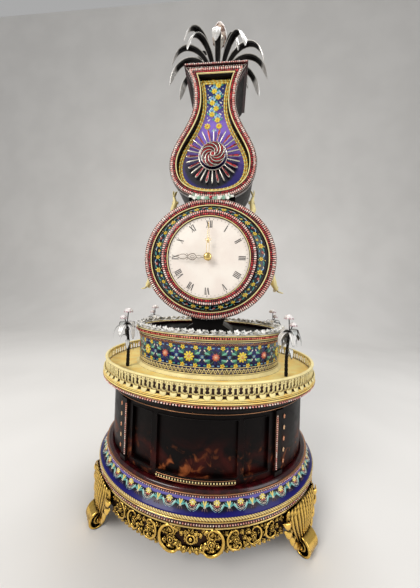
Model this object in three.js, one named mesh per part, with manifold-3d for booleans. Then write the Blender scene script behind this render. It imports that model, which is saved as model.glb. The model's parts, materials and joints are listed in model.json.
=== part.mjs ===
// A gilt and enamelled table clock in the form of a double gourd. The gourd stands in an oval lotus tub
// on a railed oval platform, over a glazed plinth and a cast base with four scroll feet.
// Millimetres, +Z up, front towards -Y. The origin is on the ground under the middle of the base.
import * as THREE from "three";
import { mergeVertices } from "three/addons/utils/BufferGeometryUtils.js";
import Module from "manifold-3d";

const wasm = await Module();
wasm.setup();

// Driving dimensions

const seat = 0.3; // gap between pieces that rest on each other
const bore = 0.4; // radial clearance of an arbor in its hole
const overrun = 4; // how far a cutter runs past what it cuts
const ovalSides = 32;
const boltSides = 10;
const fullTurn = 2 * Math.PI;
const quarterTurns = [0, 0.5, 1, 1.5].map((turn) => turn * Math.PI);

const plan = { depthShare: 0.827, tubDepthShare: 0.775 }; // depth over width of the ovals

const board = { halfWidth: 168, bottom: 54, top: 76 };
const apron = { thickness: 4, top: 63, archBottom: 39, dropBottom: 30, dropAngle: 0.42 };
const relief = {
  radius: 2.7, tipShare: 0.5, turns: 1.2, eyeShare: 0.26, steps: 7, sides: 3, rosette: 8.5,
  rosetteHeight: 5, rosetteDrop: 10.5,
  frontAngles: [0.16, 0.36, 0.53], frontSizes: [15, 11, 8.5], sideAngles: [0.2], sideSizes: [12],
};
const foot = {
  angle: 0.654, outset: 7.5, voluteRadius: 12, voluteHalfWidth: 12, eyeShare: 0.6, leafThickness: 6,
  fluteDepth: 1.8, leafHalfWidths: [36, 36, 31, 23, 15, 11], leafStandOffs: [0.5, 3, 5.5, 7, 8, 8.5],
};
const rope = { outset: 8, bead: 4.6, bulge: 2.4 };
const cavetto = {
  bottomOutset: 6, topInset: 4, height: 13.7, riseShares: [0.3, 0.65], coveShares: [0.4, 0.8],
};
const plinthFoot = { height: 7.7, beadHeight: 3.6, beadOutset: 2, stepInset: 6 };
const wall = { inset: 5, height: 83.4, thickness: 5 };
const bay = { halfShare: 0.3226, sideInnerShare: 0.3742, sideOuterShare: 0.5742, bottomRail: 9, topRail: 7 };
const lining = { thickness: 1.6, overlap: 4 };
const pilaster = {
  angle: 0.86, width: 11, projection: 2.6, capWidth: 13.2, capProjection: 3.9, capHeight: 5.5,
};
const sill = { height: 5, projection: 1.8 };
const plinthDoor = {
  halfShare: 0.3871, gap: 0.7, knuckleRadius: 2.4, knobRadius: 4, knobReach: 9, knobInset: 12,
};
const cornice = {
  height: 18.7, footOutset: 3, coveOutset: 5, lipOutset: 20, lipThickness: 4.2,
  coveShare: 0.35, lipShare: 0.75,
};
const deck = { height: 9.7, outset: 19, topOutset: 16.5 };
const gallery = {
  inset: 1.5, height: 12, thickness: 2.2, unitCount: 76, railHeight: 2.8, railWidth: 4.4,
  openingShares: [[0.84, 0.16], [0.62, 0.58], [0.84, 0.88], [0.16, 0.88], [0.38, 0.58], [0.16, 0.16]],
};
const tubFoot = { height: 4.7, outset: 6, lipOutset: 2 };
const tub = { halfShare: 0.6941, flare: 3.5, bellyFlare: 1.2, height: 45.7, wall: 5, lid: 4 };
const tubRim = { outset: 9, height: 8.7, width: 15, bead: 2.4 };
const pond = { thickness: 2.7 };
const wreath = { height: 6.5, width: 10, troughShare: 0.55 };
const tree = {
  angle: 0.58, clearance: 1, trunkHeight: 66, trunkRadius: 2.3, lean: 3, frondCount: 5, frondReach: 14.5,
  frondRise: 5, frondFall: 14, frondWidth: 5.4, frondThickness: 2, crownStep: 3, stalkRadius: 1.1,
  flowerUp: 88, flowerRadius: 5, flowerHeight: 4,
};

const drum = { clearance: 15.3, radius: 103.6, squash: 8.6, front: -50, back: 46 };
const border = { width: 12.4, depth: 12, crest: 1.8, rowShares: [0.24, 0.5, 0.76] };
const drumCase = { inset: 3.6, wall: 4 };
const bezel = { inset: 31.6, width: 10.2, front: -64, back: -56 };
const band = { thickness: 2, outerFront: -48, innerFront: -57, bulge: 1.4 };
const dial = { front: -60, thickness: 1.6, edge: 0.4, holeRadius: 4.6 };
const frontPlate = { front: -36, thickness: 3 };
const backPlate = {
  front: 14, thickness: 3, halfWidth: 46, halfHeight: 48, pillarRadius: 3, pillarInset: 8,
};

const centreArbor = { radius: 2.2, front: -71.5 };
const hourPipe = { radius: 4, front: -66.5 };
const handThickness = 1.2;
const minuteHand = {
  lengthShare: 0.8455, front: -70.6, bossRadius: 5.4,
  bladeShares: [[0.044, 0.06], [0.03, 0.5], [0.07, 0.56], [0.024, 0.62], [0.017, 0.9]],
};
const hourHand = {
  lengthShare: 0.5854, front: -66, bossRadius: 6.2,
  bladeShares: [[0.08, 0.1], [0.05, 0.36], [0.12, 0.48], [0.035, 0.6], [0.11, 0.72], [0.07, 0.86]],
};
const tooth = { tipShare: 0.8, rootShare: 1.15, flankShare: 0.27, crownShare: 0.08 };
const teeth = {
  cannonCount: 8, motionWheelCount: 24, motionPinionCount: 6, hourWheelCount: 24,
  centrePinionCount: 8, greatWheelCount: 32,
};
const motionWork = {
  distance: 18, wheelThickness: 3, cannonFront: -43, hourFront: -51, studRadius: 1.6, studFront: -54,
};
const barrel = {
  distance: 28, angle: -0.785, wheelFront: -29, wheelThickness: 3, pinionOverlap: 1.5, radius: 20,
  drumBack: 10, arborRadius: 2, squareHalf: 1.4, squareBack: 25,
};
const pendulum = {
  pivotUp: 40, studRadius: 1.5, studBack: 27, eyeRadius: 3.6, rodFront: 20, rodThickness: 2.4, rodWidth: 3,
  length: 78, bobRadius: 11, bobThickness: 7,
};
const drumDoor = {
  thickness: 3, bevel: 4, knuckleRadius: 2.6, knuckleOutset: 4, knuckleHalf: 8, earLength: 7, tabLength: 8,
  knobRadius: 4.2, knobReach: 8, knobInset: 17,
};
const drumScroll = {
  y: -8, radii: [1.8, 3.2, 3.6, 3.6, 4.3, 5.4, 1.8], padRadius: 4.6, padDown: 6, padReach: 10,
  path: [[3.6, 18], [8.6, 0], [4.3, -20], [9.5, -34], [19, -40]],
};

const lobe = {
  halfWidth: 69.6, wideUp: 56, neckHalf: 33.5, neckUp: 156, mouthHalf: 49.5, height: 210,
  bellyShares: [0.64, 0.34], shoulderShares: [0.36, 0.62], throatShares: [0.4, 0.3, 0.74], steps: [8, 7, 5],
};
const lobeBorder = { front: -48, back: -33.3, width: 12.2 };
const lobeCase = { inset: 2, back: 46, wall: 4 };
const panel = { thickness: 2, clearance: 0.9 };
const whirligig = {
  up: 71, rayCount: 28, rayRadius: 45, hubRadius: 23, rayFront: -41, rayThickness: 1.8,
  rootShare: 0.3, tipShare: 0.2,
  pipeRadius: 2.4, pipeBack: -14, arborRadius: 1.2, arborBack: -12, bossRadius: 6, bearingFront: -28,
};
const pinwheel = {
  radius: 20.5, front: -46.5, thickness: 2.6, armCount: 8, bossRadius: 4.5, bossFront: -47.8, bossBack: -43,
  armTurns: [0, 0.28, 0.42, 0.5, 0.8, 0.86, 0.82], armShares: [0.3, 0.55, 0.8, 1, 1, 0.72, 0.48],
};
const mouth = { thickness: 3.2, outset: 1, overhang: 1 };
const saddle = { halfWidth: 38, front: -33, back: 44, rise: 11 };
const shoulderScroll = {
  y: -16, radii: [3, 3, 2.7, 3, 3.9, 1.5], padRadius: 3, padDown: 9, padInset: 12,
  path: [[69, -35], [78, -11], [72, 10], [78, 37]],
};
const socle = {
  front: -33, back: 40, halfWidths: [42, 36, 24, 30, 42], riseShares: [0, 0.2, 0.5, 1.1, 1.9],
};
const collar = { radius: 15, topRadius: 12, height: 9 };
const leafForm = {
  rootShare: 0.34, springShare: 0.12, springRise: 1.15, archShare: 0.85, archRise: 1.28, depthShare: 0.72,
};
const lowerLeaves = { count: 12, reach: 82, peak: 58, fall: 48, width: 11, turnShare: 0 };
const upperLeaves = { count: 4, reach: 60, peak: 76, fall: 30, width: 10, turnShare: 0.5 };
const leafThickness = 1.6;
const fruit = {
  radius: 12.5, up: 83, height: 38, stemRadius: 4,
  riseShares: [0.12, 0.38, 0.7, 0.94], widthShares: [0.8, 1, 0.8, 0.35],
};
const music = {
  radius: 17, halfLength: 52, axisUp: 36, y: 30, pinCount: 12, pinLength: 2, pinWidth: 1.4, pinTurn: 2.4,
  endInset: 5, frameThickness: 4, frameHalfDepth: 12, frameTopUp: 6, pivotRadius: 3, shaftGap: 4,
};

// Heights and planes that follow from the sizes above

const cavettoZ = board.top + seat;
const plinthFootZ = cavettoZ + cavetto.height + seat;
const plinthFootHalf = board.halfWidth - cavetto.topInset + plinthFoot.beadOutset;
const plinthStepHalf = plinthFootHalf - plinthFoot.stepInset;
const wallHalf = plinthStepHalf - wall.inset;
const wallZ = plinthFootZ + plinthFoot.height + seat;
const wallTop = wallZ + wall.height;
const corniceZ = wallTop + seat;
const deckZ = corniceZ + cornice.height + seat;
const deckTop = deckZ + deck.height;
const standing = deckTop + seat;
const galleryHalf = wallHalf + deck.topOutset - gallery.inset;
const tubZ = deckTop + tubFoot.height + seat;
const tubRimZ = tubZ + tub.height + seat;
const tubHalf = galleryHalf * tub.halfShare;
const tubRimHalf = tubHalf + tubRim.outset;
const tubRimTop = tubRimZ + tubRim.height;
const pondTop = tubRimZ + pond.thickness;
const bezelOuter = drum.radius - bezel.inset;
const bezelInner = bezelOuter - bezel.width;
const dialRadius = bezelInner - seat;
const drumZ = tubRimTop + drum.clearance + drumHeight(drum.radius);
const borderBack = drum.front + border.depth;
const caseFront = borderBack + seat;
const caseOuter = drum.radius - drumCase.inset;
const caseInner = caseOuter - drumCase.wall;
const bandOuter = drum.radius - border.width - seat;
const bandInner = bezelOuter + seat;
const frontPlateBack = frontPlate.front + frontPlate.thickness;
const backPlateBack = backPlate.front + backPlate.thickness;
const apronInner = board.halfWidth + seat;
const apronOuter = apronInner + apron.thickness;

// Materials

const paint = (name, color, roughness, metalness) =>
  Object.assign(new THREE.MeshStandardMaterial({ color, roughness, metalness }), { name });
const gilt = paint("gilt", 0xd9a441, 0.3, 1);
const paleGilt = paint("pale_gilt", 0xe8c66a, 0.32, 1);
const silver = paint("silver", 0xd8d6cc, 0.3, 1);
const blueEnamel = paint("blue_enamel", 0x1b1c6e, 0.2, 0);
const redPaste = paint("red_paste", 0x8e1f2a, 0.15, 0.1);
const lacquer = paint("dark_lacquer", 0x2a0a0a, 0.22, 0);
const darkBronze = paint("dark_bronze", 0x241c14, 0.4, 0.8);
const whiteEnamel = paint("white_enamel", 0xeee6dc, 0.18, 0);
const brass = paint("brass", 0xc09a4c, 0.38, 1);
const mirror = paint("pond_mirror", 0x0b0c10, 0.06, 0.9);

// Solids: closed meshes joined and cut

function toSolid(geometry) {
  const bare = geometry.index ? geometry.toNonIndexed() : geometry.clone();
  for (const name of Object.keys(bare.attributes)) {
    if (name !== "position") bare.deleteAttribute(name);
  }
  const merged = mergeVertices(bare);
  const mesh = new wasm.Mesh({
    numProp: 3,
    vertProperties: new Float32Array(merged.attributes.position.array),
    triVerts: new Uint32Array(merged.index.array),
  });
  mesh.merge();
  const solid = new wasm.Manifold(mesh);
  return solid.volume() > 0 ? solid : toSolid(turnedOver(merged));
}

// The same mesh with every face turned over, for a profile that was drawn the other way round.
function turnedOver(indexed) {
  const faces = indexed.index.array;
  for (let i = 0; i < faces.length; i += 3) {
    [faces[i + 1], faces[i + 2]] = [faces[i + 2], faces[i + 1]];
  }
  return indexed;
}

function toGeometry(solid) {
  const mesh = solid.getMesh();
  const positions = new Float32Array(mesh.numVert * 3);
  for (let i = 0; i < mesh.numVert; i++) {
    positions.set(mesh.vertProperties.subarray(i * mesh.numProp, i * mesh.numProp + 3), i * 3);
  }
  return new THREE.BufferGeometry()
    .setAttribute("position", new THREE.BufferAttribute(positions, 3))
    .setIndex(new THREE.BufferAttribute(new Uint32Array(mesh.triVerts), 1));
}

const outward = (geometry) => toGeometry(toSolid(geometry));
const join = (...shapes) => toGeometry(shapes.map(toSolid).reduce((a, b) => a.add(b)));
const cut = (shape, ...tools) =>
  toGeometry(tools.map(toSolid).reduce((a, b) => a.subtract(b), toSolid(shape)));
const common = (a, b) => toGeometry(toSolid(a).intersect(toSolid(b)));

// A closed skin over loops of points: the end loops are capped, or the last loop meets the first.
function skin(loops, closed = false) {
  const count = loops[0].length;
  const points = loops.flat().map((p) => p.toArray());
  const faces = [];
  const rows = closed ? loops.length : loops.length - 1;
  for (let j = 0; j < rows; j++) {
    const next = (j + 1) % loops.length;
    for (let i = 0; i < count; i++) {
      const k = (i + 1) % count;
      faces.push(j * count + i, j * count + k, next * count + k);
      faces.push(j * count + i, next * count + k, next * count + i);
    }
  }
  const cap = (j, flip) => {
    const middle = loops[j].reduce((sum, p) => sum.add(p), new THREE.Vector3()).divideScalar(count);
    points.push(middle.toArray());
    for (let i = 0; i < count; i++) {
      const pair = [j * count + i, j * count + ((i + 1) % count)];
      if (flip) pair.reverse();
      faces.push(points.length - 1, ...pair);
    }
  };
  if (!closed) {
    cap(0, true);
    cap(loops.length - 1, false);
  }
  const geometry = new THREE.BufferGeometry()
    .setAttribute("position", new THREE.Float32BufferAttribute(points.flat(), 3))
    .setIndex(faces);
  return outward(geometry);
}

const sweepOf = (count) => Array.from({ length: count }, (_, i) => (fullTurn * i) / count);
const heading = (angle) => new THREE.Vector3(Math.cos(angle), Math.sin(angle), 0);
const upwards = (height) => new THREE.Vector3(0, 0, height);

// A profile of [radius, height] pairs turned about +Z and drawn in to an oval plan.
function ovalTurn(profile, depthShare = plan.depthShare, sides = ovalSides) {
  const points = profile.map(([radius, z]) => new THREE.Vector2(radius, z));
  return outward(new THREE.LatheGeometry(points, sides).rotateX(Math.PI / 2).scale(1, depthShare, 1));
}

const ovalDisc = (radius, bottom, top, depthShare, sides) =>
  ovalTurn([[0, bottom], [radius, bottom], [radius, top], [0, top]], depthShare, sides);

const ovalRing = (inner, outer, bottom, top, depthShare) =>
  ovalTurn([[inner, bottom], [outer, bottom], [outer, top], [inner, top], [inner, bottom]], depthShare);

const ovalPoint = (radius, angle, z, depthShare = plan.depthShare) =>
  new THREE.Vector3(radius * Math.cos(angle), radius * depthShare * Math.sin(angle), z);

// The way straight out of the base's oval at an angle.
const ovalOut = (angle) =>
  new THREE.Vector3(Math.cos(angle) * plan.depthShare, Math.sin(angle), 0).normalize();

// The drum is round inside its dial bezel and wider than high at its rim.
function drumHeight(radius) {
  const share = (radius - bezelOuter) / (drum.radius - border.width - bezelOuter);
  return radius - drum.squash * Math.min(1, Math.max(0, share));
}

// A profile of [radius, y] pairs turned about the drum's axis.
function drumTurn(profile, sides = ovalSides) {
  const points = profile.map(([radius, y]) => new THREE.Vector2(radius, y));
  const geometry = new THREE.LatheGeometry(points, sides);
  const position = geometry.attributes.position;
  for (let i = 0; i < position.count; i++) {
    const radius = Math.hypot(position.getX(i), position.getZ(i));
    if (radius > 0) position.setZ(i, (position.getZ(i) * drumHeight(radius)) / radius);
  }
  return outward(geometry.translate(0, 0, drumZ));
}

const drumDisc = (radius, front, back, sides) =>
  drumTurn([[0, front], [radius, front], [radius, back], [0, back]], sides);

const box = (x0, x1, y0, y1, z0, z1) =>
  new THREE.BoxGeometry(x1 - x0, y1 - y0, z1 - z0).translate((x0 + x1) / 2, (y0 + y1) / 2, (z0 + z1) / 2);

// Rods between two planes across X, Y or Z.
const rodX = (radius, x0, x1, y, z, sides = boltSides) =>
  rodY(radius, x0, x1, 0, 0, sides).rotateZ(-Math.PI / 2).translate(0, y, z);

const rodY = (radius, y0, y1, x, z, sides = boltSides) =>
  new THREE.CylinderGeometry(radius, radius, y1 - y0, sides).translate(x, (y0 + y1) / 2, z);

const rodZ = (radius, z0, z1, x, y, sides = boltSides) =>
  rodY(radius, z0, z1, 0, 0, sides).rotateX(Math.PI / 2).translate(x, y, 0);

const knobAt = (radius, x, y, z) =>
  new THREE.SphereGeometry(radius, boltSides, boltSides / 2).translate(x, y, z);

// An outline of [x, z] points, with holes, given depth between two planes across Y.
function plate(outline, front, back, holes = []) {
  const shape = new THREE.Shape(outline.map(([x, z]) => new THREE.Vector2(x, z)));
  shape.holes = holes.map((hole) => new THREE.Path(hole.map(([x, z]) => new THREE.Vector2(x, z))));
  return new THREE.ExtrudeGeometry(shape, { depth: back - front, bevelEnabled: false })
    .rotateX(Math.PI / 2)
    .translate(0, back, 0);
}

const moved = (outline, x, z) => outline.map(([a, b]) => [a + x, b + z]);
const mirrored = (right) => [...right, ...right.toReversed().map(([x, z]) => [-x, z])];
const circle = (radius, x, z, sides = boltSides) =>
  sweepOf(sides).map((angle) => [x + radius * Math.cos(angle), z + radius * Math.sin(angle)]);

// A rod along a curve through points, whose radius follows a list.
function tube(points, radii, sides) {
  const curve = new THREE.CatmullRomCurve3(points);
  const steps = radii.length - 1;
  const frames = curve.computeFrenetFrames(steps, false);
  const loops = radii.map((radius, j) =>
    sweepOf(sides).map((angle) =>
      curve
        .getPointAt(j / steps)
        .addScaledVector(frames.normals[j], radius * Math.cos(angle))
        .addScaledVector(frames.binormals[j], radius * Math.sin(angle)),
    ),
  );
  return skin(loops);
}

// Base

// The lower edge of the cast apron: arches between the feet, and a deep drop in the middle of each side.
function apronEdge(angle) {
  const offsets = quarterTurns.map((middle) => {
    const turn = angle - middle;
    return Math.abs(Math.atan2(Math.sin(turn), Math.cos(turn)));
  });
  const along = Math.min(1, Math.min(...offsets) / apron.dropAngle);
  const dropShare = (1 + Math.cos(along * Math.PI)) / 2;
  return apron.archBottom - (apron.archBottom - apron.dropBottom) * dropShare;
}

// One scroll of the apron's relief: a spiral laid on the casting.
function reliefScroll(angle, z, size, hand) {
  const shares = Array.from({ length: relief.steps + 1 }, (_, i) => i / relief.steps);
  const points = shares.map((share) => {
    const sweep = share * relief.turns * fullTurn;
    const radius = size * (1 - (1 - relief.eyeShare) * share);
    const around = (hand * radius * Math.cos(sweep)) / apronOuter;
    return ovalPoint(apronOuter, angle + around, z + radius * Math.sin(sweep));
  });
  const radii = shares.map((share) => relief.radius * (1 - (1 - relief.tipShare) * share));
  return tube(points, radii, relief.sides);
}

function rosette(angle, z) {
  const out = ovalOut(angle);
  return new THREE.CylinderGeometry(relief.rosette / 2, relief.rosette, relief.rosetteHeight, boltSides)
    .applyQuaternion(new THREE.Quaternion().setFromUnitVectors(new THREE.Vector3(0, 1, 0), out))
    .translate(...ovalPoint(apronOuter, angle, z).toArray());
}

function makeApron() {
  const around = sweepOf(2 * ovalSides);
  const low = (radius) => around.map((angle) => ovalPoint(radius, angle, apronEdge(angle)));
  const high = (radius) => around.map((angle) => ovalPoint(radius, angle, apron.top));
  const sheet = skin([low(apronInner), low(apronOuter), high(apronOuter), high(apronInner)], true);
  const ornaments = quarterTurns.flatMap((middle, side) => {
    const wide = side % 2 === 1;
    const angles = wide ? relief.frontAngles : relief.sideAngles;
    const sizes = wide ? relief.frontSizes : relief.sideSizes;
    const scrolls = [-1, 1].flatMap((hand) =>
      angles.map((offset, i) => {
        const z = apron.top - sizes[i] - relief.radius;
        return reliefScroll(middle + hand * offset, z, sizes[i], i % 2 === 0 ? hand : -hand);
      }),
    );
    return [...scrolls, rosette(middle, apron.top - relief.rosetteDrop)];
  });
  return join(sheet, ...ornaments);
}

// A scroll foot: a fluted shell that narrows from the rim of the base into a rolled volute.
function makeFoot(angle) {
  const out = ovalOut(angle);
  const side = new THREE.Vector3(-out.y, out.x, 0);
  const centre = ovalPoint(apronOuter + foot.outset, angle, foot.voluteRadius);
  const rollSides = 12;
  const roll = (across, radius) =>
    sweepOf(rollSides).map((turn) => {
      const at = turn + fullTurn / rollSides / 2;
      const height = (radius * Math.sin(at)) / Math.cos(fullTurn / rollSides / 2);
      const point = centre.clone().addScaledVector(side, across).add(upwards(height));
      return point.addScaledVector(out, radius * Math.cos(at));
    });
  const { voluteRadius, voluteHalfWidth, eyeShare } = foot;
  const volute = skin([
    roll(-voluteHalfWidth, voluteRadius * eyeShare),
    roll(-voluteHalfWidth * eyeShare, voluteRadius),
    roll(voluteHalfWidth * eyeShare, voluteRadius),
    roll(voluteHalfWidth, voluteRadius * eyeShare),
  ]);
  const rows = foot.leafHalfWidths.length - 1;
  const flutes = [-1, -0.5, 0, 0.5, 1];
  const leaf = skin(
    foot.leafHalfWidths.map((half, row) => {
      const z = apron.top - ((apron.top - voluteRadius) * row) / rows;
      const on = (share) => ovalPoint(apronOuter, angle + (share * half) / apronOuter, z);
      const front = flutes.map((share, i) => {
        const dip = i % 2 === 1 ? foot.fluteDepth : 0;
        return on(share).addScaledVector(out, foot.leafStandOffs[row] + foot.leafThickness - dip);
      });
      const back = flutes.toReversed().map((share) => on(share).addScaledVector(out, -foot.leafThickness));
      return [...front, ...back];
    }),
  );
  const room = ovalDisc(apronOuter + seat, -overrun, board.top, plan.depthShare, 2 * ovalSides);
  return cut(join(volute, leaf), room);
}

const makeBoard = () => ovalDisc(board.halfWidth, board.bottom, board.top);

function makeRope() {
  const bottom = apron.top + seat;
  const outer = board.halfWidth + rope.outset;
  const beadTop = bottom + rope.bead;
  return ovalTurn([
    [apronInner, bottom],
    [outer - rope.bulge, bottom],
    [outer - rope.bulge, beadTop],
    [outer, (beadTop + board.top) / 2],
    [outer - rope.bulge, board.top],
    [apronInner, board.top],
    [apronInner, bottom],
  ]);
}

function makeCavetto() {
  const low = board.halfWidth + cavetto.bottomOutset;
  const high = board.halfWidth - cavetto.topInset;
  const rise = (share) => cavettoZ + cavetto.height * share;
  const cove = (share) => low + (high - low) * Math.sin((share * Math.PI) / 2);
  const curve = cavetto.riseShares.map((share, i) => [cove(cavetto.coveShares[i]), rise(share)]);
  return ovalTurn([[0, cavettoZ], [low, cavettoZ], ...curve, [high, rise(1)], [0, rise(1)]]);
}

function makePlinthFoot() {
  const [outer, step] = [plinthFootHalf, plinthStepHalf];
  const beadTop = plinthFootZ + plinthFoot.beadHeight;
  const top = plinthFootZ + plinthFoot.height;
  const profile = [[outer, plinthFootZ], [outer, beadTop], [step, beadTop], [step, top]];
  return ovalTurn([[0, plinthFootZ], ...profile, [0, top]]);
}

// Plinth

const bayBottom = wallZ + bay.bottomRail;
const bayTop = wallTop - bay.topRail;
const bayHalf = wallHalf * bay.halfShare;
const sideBay = [wallHalf * bay.sideInnerShare, wallHalf * bay.sideOuterShare];
const doorHalf = wallHalf * plinthDoor.halfShare;

const wallShell = (outer, thickness, bottom, top) => ovalRing(outer - thickness, outer, bottom, top);
const wallY = (x) => plan.depthShare * Math.sqrt(wallHalf ** 2 - x ** 2);

const plinthHinge = {
  x: doorHalf + plinthDoor.knuckleRadius,
  y: wallY(doorHalf) + plinthDoor.knuckleRadius,
  low: bayBottom + (bayTop - bayBottom) / 4,
  high: bayTop - (bayTop - bayBottom) / 4,
  ear: (bayTop - bayBottom) / 8,
};

function makeWall() {
  const [inner, outer] = sideBay;
  const fronts = [[-bayHalf, bayHalf], [-outer, -inner], [inner, outer]].map(([x0, x1]) =>
    box(x0, x1, -wallHalf, 0, bayBottom, bayTop),
  );
  const rear = box(-doorHalf, doorHalf, 0, wallHalf, bayBottom, bayTop);
  const shell = cut(wallShell(wallHalf, wall.thickness, wallZ, wallTop), ...fronts, rear);
  const { x, y, low, high, ear } = plinthHinge;
  const radius = plinthDoor.knuckleRadius;
  const ears = [low - ear - seat, high + seat].map((z) =>
    join(rodZ(radius, z, z + ear, x, y), box(x, x + 2 * radius, y - wall.thickness, y, z, z + ear)),
  );
  return join(shell, ...ears);
}

function makePlinthDoor() {
  const { gap, knuckleRadius, knobRadius, knobReach, knobInset } = plinthDoor;
  const edge = doorHalf - gap;
  const leaf = common(
    wallShell(wallHalf, wall.thickness, bayBottom + gap, bayTop - gap),
    box(-edge, edge, 0, wallHalf, wallZ, wallTop),
  );
  const { x, y, low, high } = plinthHinge;
  const knuckle = rodZ(knuckleRadius, low, high, x, y);
  const strap = box(edge - 2 * knuckleRadius, x, y - knuckleRadius / 2, y + knuckleRadius / 2, low, high);
  const knobX = knobInset - edge;
  const knobZ = (bayBottom + bayTop) / 2;
  const face = wallY(knobX);
  const stem = rodY(knobRadius / 2, face - wall.thickness / 2, face + knobReach, knobX, knobZ);
  return join(leaf, knuckle, strap, stem, knobAt(knobRadius, knobX, face + knobReach, knobZ));
}

// A sheet of dark lacquer that stands behind the three front bays.
function makeLining() {
  const half = sideBay[1] + lining.overlap;
  const outer = wallHalf - wall.thickness - seat / plan.depthShare;
  return common(
    wallShell(outer, lining.thickness, bayBottom - lining.overlap, bayTop + lining.overlap),
    box(-half, half, -wallHalf, 0, wallZ, wallTop),
  );
}

// A pilaster with a base and a cap, planted on the wall.
function makePilaster(angle) {
  const out = ovalOut(angle);
  const point = ovalPoint(wallHalf, angle, 0);
  const slab = (width, projection, bottom, top) =>
    box(-width / 2, width / 2, -projection, wall.thickness, bottom, top)
      .rotateZ(Math.atan2(out.y, out.x) + Math.PI / 2)
      .translate(point.x, point.y, 0);
  const { width, projection, capWidth, capProjection, capHeight } = pilaster;
  const low = wallZ + seat;
  const high = wallTop - seat;
  const shaft = slab(width, projection, low, high);
  const base = slab(capWidth, capProjection, low, low + capHeight);
  const cap = slab(capWidth, capProjection, high - capHeight, high);
  return cut(join(shaft, base, cap), ovalDisc(wallHalf + seat, wallZ - overrun, wallTop + overrun));
}

// The strip under the middle bay.
function makeSill() {
  const bottom = wallZ + (bay.bottomRail - sill.height) / 2;
  return common(
    wallShell(wallHalf + seat + sill.projection, sill.projection, bottom, bottom + sill.height),
    box(-bayHalf, bayHalf, -2 * wallHalf, 0, wallZ, wallTop),
  );
}

function makeCornice() {
  const rise = (share) => corniceZ + (cornice.height - cornice.lipThickness) * share;
  const at = (outset) => wallHalf + outset;
  const top = corniceZ + cornice.height;
  return ovalTurn([
    [0, corniceZ],
    [at(cornice.footOutset), corniceZ],
    [at(cornice.coveOutset), rise(cornice.coveShare)],
    [at(cornice.lipOutset - cornice.coveOutset), rise(cornice.lipShare)],
    [at(cornice.lipOutset), rise(1)],
    [at(cornice.lipOutset), top],
    [0, top],
  ]);
}

const musicAxisZ = plinthFootZ + plinthFoot.height + seat + music.axisUp;
const musicEndX = music.halfLength + music.shaftGap + music.frameThickness;

// The frame of the music work: a bed with an upright at each end.
function makeMusicFrame() {
  const { y, frameThickness, frameHalfDepth, frameTopUp, pivotRadius } = music;
  const floor = musicAxisZ - music.axisUp;
  const slab = (x0, x1, top) => box(x0, x1, y - frameHalfDepth, y + frameHalfDepth, floor, top);
  const bed = slab(-musicEndX, musicEndX, floor + frameThickness);
  const left = slab(-musicEndX, frameThickness - musicEndX, musicAxisZ + frameTopUp);
  const right = slab(musicEndX - frameThickness, musicEndX, musicAxisZ + frameTopUp);
  const hole = rodX(pivotRadius + bore, -musicEndX - overrun, musicEndX + overrun, y, musicAxisZ);
  return cut(join(bed, left, right), hole);
}

// The pinned cylinder of the music work, with a spiral of pins.
function makeMusicCylinder() {
  const { radius, halfLength, y, pinCount, pinLength, pinWidth, pinTurn, endInset, pivotRadius } = music;
  const body = rodX(radius, -halfLength, halfLength, y, musicAxisZ, 2 * boltSides);
  const shaft = rodX(pivotRadius, -musicEndX, musicEndX, y, musicAxisZ);
  const pinned = Array.from({ length: pinCount }, (_, i) => {
    const x = (halfLength - endInset) * ((2 * i) / (pinCount - 1) - 1);
    return box(x - pinWidth / 2, x + pinWidth / 2, -pinWidth / 2, pinWidth / 2, 0, radius + pinLength)
      .rotateX(i * pinTurn)
      .translate(0, y, musicAxisZ);
  });
  return join(body, shaft, ...pinned);
}

// Platform and gallery

// The deck, with the flared foot of the tub cast in one piece on it.
function makeDeck() {
  const lip = wallHalf + deck.outset;
  const top = wallHalf + deck.topOutset;
  const middle = deckZ + deck.height / 2;
  const slab = ovalTurn([[0, deckZ], [lip, deckZ], [lip, middle], [top, deckTop], [0, deckTop]]);
  const outer = tubHalf + tubFoot.outset;
  const flare = ovalTurn(
    [
      [0, middle],
      [outer, middle],
      [outer, deckTop + tubFoot.height / 2],
      [tubHalf + tubFoot.lipOutset, deckTop + tubFoot.height],
      [0, deckTop + tubFoot.height],
    ],
    plan.tubDepthShare,
  );
  return join(slab, flare);
}

// The pierced gallery: one lyre-shaped opening in each unit, drawn flat and bent round the oval.
// The sides of neighbouring units meet point for point, so the strip closes on itself.
function makeGallery() {
  const pitch = (fullTurn * galleryHalf) / gallery.unitCount;
  const half = gallery.thickness / 2;
  const outline = [[0, 0], [pitch, 0], [pitch, gallery.height], [0, gallery.height]];
  const opening = gallery.openingShares.map(([along, up]) => [along * pitch, up * gallery.height]);
  const flat = (points) => points.map(([u, v]) => new THREE.Vector2(u, v));
  const faces = THREE.ShapeUtils.triangulateShape(flat(outline), [flat(opening)]);
  const corners = [...outline, ...opening];
  const positions = [];
  for (let unit = 0; unit < gallery.unitCount; unit++) {
    const bend = ([u, v], depth) => {
      const angle = ((unit + u / pitch) / gallery.unitCount) * fullTurn;
      return ovalPoint(galleryHalf + depth, angle, standing + v).toArray();
    };
    const band = (p, q) => {
      const [a, b, c, d] = [bend(p, half), bend(q, half), bend(q, -half), bend(p, -half)];
      positions.push(...a, ...d, ...c, ...a, ...c, ...b);
    };
    for (const face of faces) {
      positions.push(...face.flatMap((n) => bend(corners[n], half)));
      positions.push(...face.toReversed().flatMap((n) => bend(corners[n], -half)));
    }
    band(outline[0], outline[1]);
    band(outline[2], outline[3]);
    opening.forEach((p, i) => band(opening[(i + 1) % opening.length], p));
  }
  return outward(
    new THREE.BufferGeometry().setAttribute("position", new THREE.Float32BufferAttribute(positions, 3)),
  );
}

function makeGalleryRail() {
  const bottom = standing + gallery.height + seat;
  const half = gallery.railWidth / 2;
  return ovalRing(galleryHalf - half, galleryHalf + half, bottom, bottom + gallery.railHeight);
}

// Lotus tub

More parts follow.
